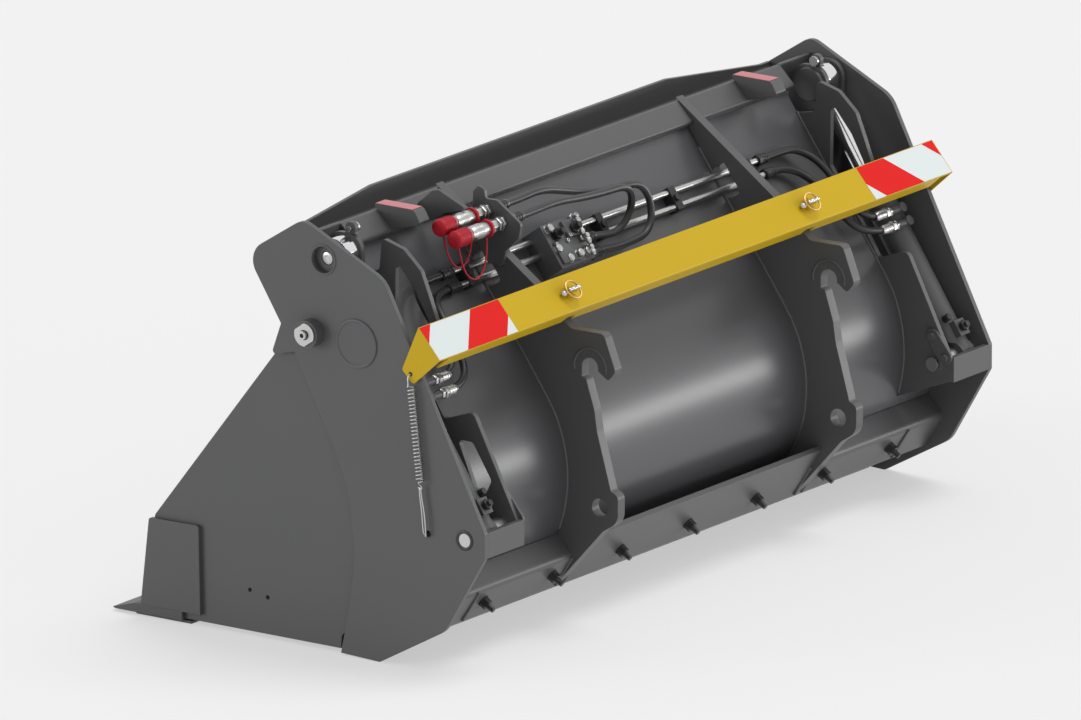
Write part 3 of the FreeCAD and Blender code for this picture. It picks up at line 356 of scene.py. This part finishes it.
def as_mesh(obj):
    """The same piece with its curve made a mesh."""
    bpy.context.view_layer.update()
    mesh = bpy.data.meshes.new_from_object(obj.evaluated_get(bpy.context.evaluated_depsgraph_get()))
    solid = bpy.data.objects.new(obj.name + "_tube", mesh)
    scene.collection.objects.link(solid)
    mesh.shade_smooth()
    bpy.data.objects.remove(obj)
    return solid


def centreline(route):
    """Points along the spline of a route, as the curve evaluates it."""
    bare = spline_object("centreline", route, 0, hose_rubber)
    bpy.context.view_layer.update()
    mesh = bpy.data.meshes.new_from_object(bare.evaluated_get(bpy.context.evaluated_depsgraph_get()))
    points = [v.co.copy() for v in mesh.vertices]
    bpy.data.objects.remove(bare)
    return points


# Hoses and straps, on the routes of the drawing
BACK_TURN = math.radians(35.62)
BACK_TOP = (2.0, 152.0)


def on_back(down, off):
    return (BACK_TOP[0] + down * math.sin(BACK_TURN) + off * math.cos(BACK_TURN),
            BACK_TOP[1] - down * math.cos(BACK_TURN) + off * math.sin(BACK_TURN))


PIPE_A = on_back(124, 16)
PIPE_B = on_back(158, 16)
FEED_A = on_back(196, 40)
FEED_B = on_back(160, 40)
HOSE = 16.0
STRAP = 4.0
BARREL_LEAN = math.radians(33.28)
BASE_PIN = (391.0, -392.0)
ROD_PIN = (28.0, 161.0)


def from_barrel(along, off):
    """A point of the side profile, along the cylinder from its base pin and off behind it."""
    return (BASE_PIN[0] - along * math.sin(BARREL_LEAN) + off * math.cos(BARREL_LEAN),
            BASE_PIN[1] + along * math.cos(BARREL_LEAN) + off * math.sin(BARREL_LEAN))


PORT_A = from_barrel(335, 40)
PORT_B = from_barrel(303, 40)
PORT_X = 821.0
ROUTES = {
    "hose_supply_a": [
        (419.6, 110, 176), (348, 110, 176), (266, 111, 181), (182, 112, 160), (100, 114, 138),
        (15, 117, 127), (-73, 121, 125), (-105, 128, 93), (-105, 138, 47), (-73, 146, 15), (-5, 148, 11),
        (44, 149, 11.5), (88, *FEED_A), (128, *FEED_A)],
    "hose_supply_b": [
        (419.6, 149, 156), (350, 149, 156), (270, 151, 160), (185, 152, 150), (98, 152, 143),
        (9, 150, 140), (-21, 146, 110), (-21, 138, 68), (9, 131, 38), (52, 129, 38),
        (92, *FEED_B), (128, *FEED_B)],
}
for word, side in (("left", 1), ("right", -1)):
    ROUTES[f"hose_{word}_a"] = [
        (side * PORT_X, *PORT_A), (side * 772, *PORT_A), (side * 738, 212, -56), (side * 735, 140, 28),
        (side * 700, 94, 60), (side * 650, *PIPE_A), (side * 600, *PIPE_A)]
    ROUTES[f"hose_{word}_b"] = [
        (side * PORT_X, *PORT_B), (side * 764, *PORT_B), (side * 706, 230, -90), (side * 694, 168, -12),
        (side * 656, *PIPE_B), (side * 600, *PIPE_B)]
for name, route in ROUTES.items():
    spots = [at(*spot) for spot in route]
    line = centreline(spots)
    hose = spline_object(name + "_rubber", spots, HOSE, hose_rubber)
    if "supply" in name:
        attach(hose, "moldboard")
    else:
        word = name.split("_")[1]
        hose = as_mesh(hose)
        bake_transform(hose)
    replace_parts(hose, name)
for word, (y, z) in (("upper", (110, 176)), ("lower", (149, 156))):
    route = [(519.6, y, z - 14.6), (522.6, y + 5, z - 50), (543.6, y + 10, z - 87), (573.6, y + 12, z - 101),
             (601.6, y + 8, z - 84), (615.6, y + 3, z - 51), (619.6, y, z - 20.2)]
    spots = [at(*spot) for spot in route]
    line = centreline(spots)
    strap = as_mesh(spline_object(f"cap_strap_{word}_loop", spots, STRAP, red_rubber))
    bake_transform(strap)
    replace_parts(strap, f"cap_strap_{word}")

# Main planes of the drawing, in millimetres from the middle of the bucket
OUTER_FACE = 939.0
CHANNEL_OUTER = 927.0
CHANNEL_INNER = 807.0
INNER_FACE = 795.0
COUPLER_LOW = 428.5
COUPLER_HIGH = 453.5
EYE_MIDDLE = 882.0
FLOOR_Z = -693.0
SIDES = (("left", 1), ("right", -1))

# Reflective bands on the bar's face, white plates with red ones over them
BAR_HALF = 947.0
FACE_TILT = math.atan2(64, 55)
BAR_EDGE = (278.0, 54.0)


def on_face(side, inwards, down, off):
    """A point on the bar: inwards from its end, down its face and off it."""
    return at(side * (BAR_HALF - inwards),
              BAR_EDGE[0] + down * math.cos(FACE_TILT) + off * math.sin(FACE_TILT),
              BAR_EDGE[1] - down * math.sin(FACE_TILT) + off * math.cos(FACE_TILT))


FACE_OUT = Vector((0, math.sin(FACE_TILT), math.cos(FACE_TILT)))
BAND_WHITE = [[(2, 1.5), (286, 1.5), (286, 82.5), (2, 82.5)]]
BAND_RED = [[(2, 1.5), (41.5, 1.5), (2, 41)],
            [(185.5, 1.5), (286, 1.5), (286, 43), (246.5, 82.5), (104.5, 82.5)]]
for word, side in SIDES:
    for label, patches, low, high, material in (("white", BAND_WHITE, -0.3, 0.25, sticker_white),
                                                ("red", BAND_RED, 0.1, 0.45, sticker_red)):
        bm = bmesh.new()
        for patch in patches:
            sheet_prism(bm, [on_face(side, u, v, low) for u, v in patch], FACE_OUT * mm(high - low))
        finish_piece(f"bar_band_{label}_{word}", bm, material)

# Grey cross pieces of the linchpins, lying over the ends of the studs
bm = bmesh.new()
for _, side in SIDES:
    middle = on_face(side, BAR_HALF - 441, 42, 20.4)
    cross = [(-19, 0), (-19, 3.4), (-17, 4.4), (-11, 4.4), (-10, 3.6), (-8, 3.6), (-7, 4.4), (7, 4.4),
             (8, 3.6), (10, 3.6), (11, 4.4), (17, 4.4), (19, 3.4), (19, 0)]
    turned(bm, cross, middle, (1, 0, 0), steps=28)
finish_piece("linchpin_cross_pieces", bm, zinc_steel, smooth=40)

# Red strips on top of the two marker brackets
bm = bmesh.new()
for _, side in SIDES:
    x = side * 656.0
    corners = ((x - 17.5, -27), (x + 17.5, -27), (x + 17.5, 68), (x - 17.5, 68))
    outline = [at(*corner, 217.9) for corner in corners]
    sheet_prism(bm, outline, Vector((0, 0, mm(0.5))))
finish_piece("marker_strips", bm, marker_red)

# Plain pressed disc on each outer side plate
bm = bmesh.new()
for _, side in SIDES:
    disc = [(-0.5, 53.5), (2.4, 53.0), (3.4, 51.8), (3.4, 48.0), (2.6, 46.6), (1.2, 45.6), (1.2, 0)]
    turned(bm, disc, at(side * OUTER_FACE, 113, -8), (side, 0, 0), steps=72)
finish_piece("side_discs", bm, dark_paint, smooth=40)

# Turned rings round the base pins and pivot pins, seen on the outer plates; the base pin rings are raised and
# black, a painted shade of the recess round each pin
bm = bmesh.new()
for _, side in SIDES:
    ring = [(-0.4, 15.2), (1.2, 15.2), (1.8, 16.0), (1.8, 20.8), (1.2, 21.8), (-0.4, 22.3)]
    turned(bm, ring, at(side * OUTER_FACE, *BASE_PIN), (side, 0, 0), steps=48)
finish_piece("base_pin_shade_rings", bm, black_steel, smooth=40)
bm = bmesh.new()
for _, side in SIDES:
    ring = [(-0.4, 28.7), (1.0, 28.7), (2.2, 29.6), (2.2, 32.0), (1.2, 33.0), (-0.4, 33.4)]
    turned(bm, ring, at(side * OUTER_FACE, *ROD_PIN), (side, 0, 0), steps=48)
finish_piece("access_hole_rims", bm, dark_paint, smooth=40)

# Socket and turned groove of each pivot screw, drawn as thin black discs and rings on the screw's end:
# painted shade of the recesses
bm = bmesh.new()
for _, side in SIDES:
    turned(bm, [(-0.4, 0), (-0.4, 4.9), (0.2, 4.9), (0.2, 0)], at(side * 974.3, 0, 0), (side, 0, 0), steps=24)
    groove = [(-0.4, 9.4), (0.5, 9.4), (0.5, 11.2), (-0.4, 11.2)]
    turned(bm, groove, at(side * 971.0, 0, 0), (side, 0, 0), steps=36)
finish_piece("pivot_screw_socket_shades", bm, black_steel, smooth=40)

# Machined ends of the rod pins, seen through the access holes
bm = bmesh.new()
for _, side in SIDES:
    face = [(-0.3, 14.0), (0.6, 14.0), (1.2, 13.2), (1.2, 6.0), (0.2, 5.4), (0.2, 0)]
    turned(bm, face, at(side * 925.0, *ROD_PIN), (side, 0, 0), steps=36)
finish_piece("rod_pin_ends", bm, zinc_steel, body="clam", smooth=40)


def wire_piece(name, points, diameter, material, steps, sides):
    """A bent wire or a weld bead on the moldboard, as a mesh tube through its points."""
    solid = as_mesh(spline_object(name, points, diameter, material, steps, sides))
    solid.name = name
    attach(solid, "moldboard")
    return solid


def wound(first, last, radius, turns, per_turn=12):
    """Points of a coil of wire from one point to another."""
    along = last - first
    turn = Vector((0, 0, 1)).rotation_difference(along).to_matrix()
    count = int(turns * per_turn)
    points = []
    for k in range(count + 1):
        angle = math.tau * k / per_turn
        spoke = turn @ Vector((mm(radius) * math.cos(angle), mm(radius) * math.sin(angle), 0))
        points.append(first + along * (k / count) + spoke)
    return points


# Coil springs from the bar's ends to the side plates, each with a long bent hook
SPRING_X = 952.0
HOOK_ROUTE = [(0, 288.5, -300), (0, 288.0, -291), (0, 284.5, -291), (0, 284.5, -304), (0, 291.0, -345),
              (0, 293.6, -384), (2, 296.0, -393), (12, 297, -394), (22, 297, -391)]
MATE_ROUTE = [(0, 288.5, -300), (0, 289.6, -310), (0, 297.0, -345), (0, 299.6, -372), (0, 300.4, -386),
              (3, 299, -396), (8, 296, -399), (10, 292, -397)]
for word, side in SIDES:
    coil_top = at(side * SPRING_X, 262, -74)
    coil_low = at(side * SPRING_X, 286, -278)
    head = [at(side * (BAR_HALF - 9), 259, -51), at(side * (BAR_HALF - 2), 259, -50),
            at(side * SPRING_X, 257, -50), at(side * SPRING_X, 254, -60)]
    foot = [at(side * SPRING_X, 287, -286), at(side * SPRING_X, 292, -290), at(side * SPRING_X, 287, -297),
            at(side * SPRING_X, 281, -290)]
    coil = wire_piece(f"spring_coil_{word}", head + wound(coil_top, coil_low, 8.0, 26) + foot, 3.3,
                      zinc_steel, steps=2, sides=1)
    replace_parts(coil, f"guard_spring_{word}")
    hook = [at(side * (SPRING_X - inwards), y, z) for inwards, y, z in HOOK_ROUTE]
    mate = [at(side * (SPRING_X - inwards), y, z) for inwards, y, z in MATE_ROUTE]
    for label, points in (("hook", hook), ("mate", mate)):
        wire_piece(f"spring_{label}_{word}", points, 3.4, zinc_steel, steps=6, sides=3)

# Rings round the root of each hook, and beads of weld along the joints
HOOK = (370.0, -127.0)
HOOK_RING = 41.0
BEAD_PATH = 301.0
SHELL_Y = 12.0
SHELL_Z = FLOOR_Z + 316.0


def on_shell(angle, radius):
    turn = math.radians(angle)
    return (SHELL_Y + radius * math.cos(turn), SHELL_Z + radius * math.sin(turn))


BEAD = 7.0
beads = []
for word, side in SIDES:
    for x, low_angle in ((COUPLER_LOW - 1, -52), (COUPLER_HIGH + 1, -22)):
        seam = [at(side * x, *on_shell(angle, BEAD_PATH)) for angle in range(low_angle, 36, 6)]
        seam += [at(side * x, *on_back(down, 1.0)) for down in range(300, 0, -50)]
        beads.append(seam)
    seam = [at(side * (INNER_FACE - 1), *on_shell(angle, BEAD_PATH)) for angle in range(-18, 36, 6)]
    seam += [at(side * (INNER_FACE - 1), *on_back(down, 1.0)) for down in range(300, 10, -50)]
    beads.append(seam)
    for x in (COUPLER_LOW - 1, COUPLER_HIGH + 1):
        beads.append([at(side * x, 282, FLOOR_Z + 76), at(side * x, 292, FLOOR_Z + 92),
                      at(side * x, 310, FLOOR_Z + 120), at(side * x, 326, FLOOR_Z + 144)])
    beads.append([at(side * (INNER_FACE - 1), 282, FLOOR_Z + 76),
                  at(side * (INNER_FACE - 1), 300, FLOOR_Z + 104),
                  at(side * (INNER_FACE - 1), 326, FLOOR_Z + 144)])
for number, seam in enumerate(beads):
    wire_piece(f"weld_bead_{number}", seam, BEAD, weld_paint, steps=6, sides=2)
for word, side in SIDES:
    for label, face_x in (("outer", COUPLER_HIGH), ("inner", COUPLER_LOW)):
        turns = [math.radians(angle) for angle in range(-12, 200, 12)]
        ring = [at(side * face_x, HOOK[0] + HOOK_RING * math.cos(turn), HOOK[1] + HOOK_RING * math.sin(turn))
                for turn in turns]
        wire_piece(f"hook_ring_{label}_{word}", ring, 6.0, dark_paint, steps=4, sides=2)

# Quick couplings: hexagonal bodies, grooved sleeves and red collars
BRACKET_X = 453.6
CAP_SEAT = BRACKET_X + 138.0
COUPLINGS = (("upper", 110.0, 176.0), ("lower", 149.0, 156.0))
ALONG = (1, 0, 0)
sleeve = [(523, 12.5), (523, 15.4), (524.5, 16.2), (543, 16.2), (544, 17.2), (545, 17.2)]
for groove in range(6):
    start = 547 + groove * 4
    sleeve += [(start, 17.2), (start + 0.8, 16.3), (start + 2.2, 16.3), (start + 3, 17.2)]
sleeve += [(574, 17.2), (578, 15.2), (583, 15.2), (584, 13.0), (612, 13.0), (613.5, 11.8), (613.5, 9.0),
           (604, 8.6), (604, 0)]
bm = bmesh.new()
collars = bmesh.new()
for word, y, z in COUPLINGS:
    turned(bm, [(419.6, 0), (419.6, 9.5), (424, 11), (462, 11), (487, 11), (487, 12.5), (541, 12.5)],
           at(0, y, z), ALONG, steps=32)
    turned(bm, sleeve, at(0, y, z), ALONG, steps=48)
    hexagon(bm, at(424, y, z), ALONG, 23, 17, chamfer=1.0, spin=0.3)
    hexagon(bm, at(461.8, y, z), ALONG, 30, 12, chamfer=1.2, spin=0.1)
    hexagon(bm, at(475, y, z), ALONG, 27.5, 11, chamfer=1.0, spin=0.4)
    hexagon(bm, at(488, y, z), ALONG, 28, 25, chamfer=1.4, spin=0.1)
    turned(collars, [(514, 12.0), (514, 18.2), (515, 19.4), (521, 19.4), (522, 18.2), (522, 12.0)],
           at(0, y, z), ALONG, steps=40)
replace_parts(finish_piece("coupling_bodies", bm, zinc_steel, smooth=35), "quick_couplings")
finish_piece("coupling_collars", collars, red_rubber, smooth=40)

# Red dust caps with ribs and a domed end
cap_profile = [(CAP_SEAT + 24, 0), (CAP_SEAT + 24, 13.4), (CAP_SEAT + 0.2, 13.4), (CAP_SEAT + 0.2, 17.2),
               (CAP_SEAT + 1.5, 18.6), (CAP_SEAT + 7, 18.6), (CAP_SEAT + 8, 17.4), (CAP_SEAT + 11, 17.4),
               (CAP_SEAT + 12, 19.3)]
for rib in range(5):
    start = CAP_SEAT + 13 + rib * 5
    cap_profile += [(start, 19.3), (start + 2.6, 19.3), (start + 3.2, 18.5), (start + 4.2, 18.5),
                    (start + 4.8, 19.3)]
cap_profile += [(CAP_SEAT + 41, 19.2), (CAP_SEAT + 45, 17.9), (CAP_SEAT + 48, 15.0), (CAP_SEAT + 49.6, 10.5),
                (CAP_SEAT + 50, 5.0), (CAP_SEAT + 50, 0)]
for word, y, z in COUPLINGS:
    bm = bmesh.new()
    turned(bm, cap_profile, at(0, y, z), ALONG, steps=48)
    cap = finish_piece(f"cap_{word}_ribbed", bm, red_rubber, body=f"dust_cap_{word}",
                       smooth=40)
    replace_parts(cap, f"dust_cap_{word}")

# Crimped ferrules and nuts on the hose ends
FERRULE = [(0, 6.5), (0, 10.2), (1.2, 11.2), (6, 11.2), (7, 10.2), (9, 10.2), (10, 11.2), (15, 11.2),
           (16, 10.2), (18, 10.2), (19, 11.2), (26, 11.2), (29, 9.6), (32, 9.2), (32, 6.5)]
ends = bmesh.new()
for spot in (FEED_A, FEED_B):
    turned(ends, FERRULE, at(126.5, *spot), (-1, 0, 0), steps=32)
    hexagon(ends, at(126.5, *spot), ALONG, 24, 12, chamfer=1.2, spin=0.2)
    hexagon(ends, at(139.5, *spot), ALONG, 21, 11, chamfer=1.0, spin=0.5)
for word, y, z in COUPLINGS:
    turned(ends, FERRULE, at(420.5, y, z), (-1, 0, 0), steps=32)
for word, side in SIDES:
    for spot in (PIPE_A, PIPE_B):
        turned(ends, FERRULE, at(side * 598, *spot), (-side, 0, 0), steps=32)
        turned(ends, [(0, 7.4), (0, 9.2), (5, 9.2), (5, 7.4)], at(side * 560, *spot), (side, 0, 0), steps=32)
        hexagon(ends, at(side * 562, *spot), (side, 0, 0), 23, 13, chamfer=1.2, spin=0.3)
        hexagon(ends, at(side * 577, *spot), (side, 0, 0), 20, 10, chamfer=1.0, spin=0.6)
for x in (180.0, 240.0):
    base = at(x, *on_back(135, 58))
    rise = at(x, *on_back(135, 59)) - base
    turned(ends, [(0, 12), (3, 12), (3, 9), (20, 9), (20, 7.5), (28, 7.5), (30, 6), (30, 0)], base, rise,
           steps=32)
    hexagon(ends, base + rise * 6, rise, 22, 10, chamfer=1.0)
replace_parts(finish_piece("hose_end_fittings", ends, black_steel, smooth=35), "hose_fittings")
for word, side in SIDES:
    bm = bmesh.new()
    for spot in (PORT_A, PORT_B):
        turned(bm, FERRULE, at(side * 818, *spot), (-side, 0, 0), steps=32)
        hexagon(bm, at(side * 819, *spot), (side, 0, 0), 24, 13, chamfer=1.2, spin=0.2)
        hexagon(bm, at(side * 834, *spot), (side, 0, 0), 21, 9, chamfer=1.0, spin=0.5)
    finish_piece(f"port_ends_{word}", bm, zinc_steel, body=f"barrel_{word}", smooth=35)

# Base port of each cylinder: hexagonal fitting and a short round stub beside it
for word, side in SIDES:
    bm = bmesh.new()
    seat = at(side * EYE_MIDDLE, *from_barrel(48, 46))
    rise = (at(side * EYE_MIDDLE, *from_barrel(48, 47)) - seat).normalized()
    turned(bm, [(0, 11), (2, 11), (2, 9), (12, 9), (12, 6.5), (18, 6.5), (18, 0)], seat, rise, steps=32)
    hexagon(bm, seat + rise * mm(3), rise, 21, 8, chamfer=1.0)
    bolt = at(side * (EYE_MIDDLE - 22), *from_barrel(78, 37))
    turned(bm, [(-8, 0), (-8, 8), (6, 8), (8, 6.8), (8, 0)], bolt, rise, steps=32)
    finish_piece(f"base_port_fitting_{word}", bm, black_steel, body=f"barrel_{word}",
                 smooth=35)

# Valve block with its bevelled edges, plugs, screws and steel elbows
BACK_OUT = (at(0, *on_back(0, 1)) - at(0, *on_back(0, 0))).normalized()
BACK_DOWN = (at(0, *on_back(1, 0)) - at(0, *on_back(0, 0))).normalized()


def on_block(x, down, off):
    return at(x, *on_back(down, off))


def bevelled_box(bm, low_x, high_x, down, off, chamfer):
    """A block on the back plate with broken edges."""
    made = bmesh.ops.create_cube(bm, size=1.0)
    size = Matrix.Diagonal((mm(high_x - low_x), mm(down[1] - down[0]), mm(off[1] - off[0]), 1))
    axes = Matrix((Vector((1, 0, 0)), BACK_DOWN, BACK_OUT)).transposed().to_4x4()
    middle = on_block((low_x + high_x) / 2, sum(down) / 2, sum(off) / 2)
    bmesh.ops.transform(bm, matrix=Matrix.Translation(middle) @ axes @ size, verts=made["verts"])
    edges = list({e for v in made["verts"] for e in v.link_edges})
    bmesh.ops.bevel(bm, geom=edges, offset=mm(chamfer), offset_type="OFFSET", segments=2, profile=0.5,
                    affect="EDGES", material=-1)


bm = bmesh.new()
bevelled_box(bm, 150, 270, (105, 208), (0.1, 58), 2.0)
bevelled_box(bm, 158, 206, (112, 150), (57, 66), 1.2)
bevelled_box(bm, 214, 262, (150, 200), (57, 64), 1.2)
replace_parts(finish_piece("valve_body", bm, cast_grey, smooth=30), "valve_block")
bm = bmesh.new()
for x, down, rise in ((168, 190, 10), (200, 190, 14), (232, 192, 9), (160, 120, 12), (256, 118, 16),
                      (256, 164, 11)):
    spot = on_block(x, down, 58)
    turned(bm, [(0, 10.5), (2, 10.5), (2, 7), (rise, 7), (rise, 0)], spot, BACK_OUT, steps=28)
    hexagon(bm, spot + BACK_OUT * mm(2), BACK_OUT, 17, rise - 3, chamfer=0.9)
for x in (162, 202, 218, 258):
    spot = on_block(x, 146 if x < 210 else 155, 64)
    turned(bm, [(0, 4.6), (4.5, 4.6), (5, 4.0), (5, 2.4), (2.6, 2.4), (2.6, 0)], spot, BACK_OUT, steps=20)
finish_piece("valve_plugs", bm, zinc_steel, smooth=35)
elbows = bmesh.new()
for down, rise in ((112, 15), (136, 11), (160, 15), (186, 11)):
    spot = on_block(163, down, 64)
    turned(elbows, [(-6, 0), (-6, 6.5), (rise - 3, 6.5), (rise, 5.2), (rise + 1, 0)], spot, BACK_OUT,
           steps=24)
    hexagon(elbows, spot - BACK_OUT * mm(5), BACK_OUT, 17, 7, chamfer=0.9)
    bend = spot + BACK_OUT * mm(rise - 6)
    turned(elbows, [(0, 0), (0, 5.6), (16, 5.6), (16, 4.2), (19, 4.2), (19, 0)], bend, BACK_DOWN, steps=24)
    hexagon(elbows, bend + BACK_DOWN * mm(8), BACK_DOWN, 13.5, 6, chamfer=0.8)
finish_piece("valve_elbows", elbows, zinc_steel, smooth=35)

# Floor and light
PALE = 0.895
FLOOR_PALE = 0.93
CAMERA_SHARE = 0.55
MIRROR_SHARE = 0.8
SKY_LIGHT = 0.5
floor = bmesh.new()
bmesh.ops.create_grid(floor, x_segments=1, y_segments=1, size=60)
floor_mesh = bpy.data.meshes.new("floor")
floor.to_mesh(floor_mesh)
floor.free()
floor_obj = bpy.data.objects.new("floor", floor_mesh)
scene.collection.objects.link(floor_obj)
floor_material, tree, shader = new_material("studio_floor")
shader.inputs["Base Color"].default_value = (0.93, 0.93, 0.935, 1)
shader.inputs["Roughness"].default_value = 0.9
shader.inputs["Specular IOR Level"].default_value = 0.1
floor_mesh.materials.append(floor_material)
plain = tree.nodes.new("ShaderNodeEmission")
plain.inputs["Color"].default_value = (FLOOR_PALE, FLOOR_PALE, FLOOR_PALE, 1)
seen_by_camera = tree.nodes.new("ShaderNodeLightPath")
mirrored = math_node(tree, "ADD", seen_by_camera.outputs["Is Glossy Ray"],
                     seen_by_camera.outputs["Is Transmission Ray"])
camera_part = math_node(tree, "MULTIPLY", seen_by_camera.outputs["Is Camera Ray"], CAMERA_SHARE)
mirror_part = math_node(tree, "MULTIPLY", mirrored, MIRROR_SHARE)
share = math_node(tree, "ADD", camera_part, mirror_part, clamp=True)
blend = tree.nodes.new("ShaderNodeMixShader")
output = [node for node in tree.nodes if node.type == "OUTPUT_MATERIAL"][0]
tree.links.new(share, blend.inputs[0])
tree.links.new(shader.outputs[0], blend.inputs[1])
tree.links.new(plain.outputs[0], blend.inputs[2])
tree.links.new(blend.outputs[0], output.inputs[0])

world = bpy.data.worlds.new("studio")
scene.world = world
world.use_nodes = True
tree = world.node_tree
sky = tree.nodes["Background"]
sky.inputs["Color"].default_value = (1.0, 1.0, 1.0, 1)
path_kind = tree.nodes.new("ShaderNodeLightPath")
seen = tree.nodes.new("ShaderNodeMix")
seen.data_type = "FLOAT"
seen.inputs[2].default_value = SKY_LIGHT
seen.inputs[3].default_value = PALE
mirrored = math_node(tree, "ADD", path_kind.outputs["Is Glossy Ray"],
                     path_kind.outputs["Is Transmission Ray"])
direct = math_node(tree, "ADD", path_kind.outputs["Is Camera Ray"], mirrored, clamp=True)
tree.links.new(direct, seen.inputs[0])
tree.links.new(seen.outputs[0], sky.inputs["Strength"])


def far_light(name, towards_light, spread, strength):
    """A distant soft light that comes from a direction."""
    light = bpy.data.lights.new(name, "SUN")
    light.angle = math.radians(spread)
    light.energy = strength
    obj = bpy.data.objects.new(name, light)
    obj.rotation_euler = Vector(towards_light).to_track_quat("Z", "Y").to_euler()
    scene.collection.objects.link(obj)


def softbox(name, place, aim, size, radiance):
    """A large flat lamp whose face is as bright from anywhere."""
    light = bpy.data.lights.new(name, "AREA")
    light.shape = "RECTANGLE"
    light.size, light.size_y = size
    light.energy = radiance * math.pi * size[0] * size[1]
    obj = bpy.data.objects.new(name, light)
    obj.location = place
    obj.rotation_euler = (Vector(place) - Vector(aim)).to_track_quat("Z", "Y").to_euler()
    obj.visible_camera = False
    scene.collection.objects.link(obj)
    return obj


far_light("key", (-0.3, 0.25, 0.92), 30, 1.25)
far_light("left_fill", (0.75, -0.65, 0.12), 25, 0.8)
band = softbox("band", (-11.0, 8.5, 0.7), (0, 0, 0.4), (17.0, 2.4), 7.5)

# The low lamp lights the bucket alone, so that the floor stays even
spared = bpy.data.collections.new("band_receivers")
spared.objects.link(floor_obj)
band.light_linking.receiver_collection = spared
spared.collection_objects[0].light_linking.link_state = "EXCLUDE"
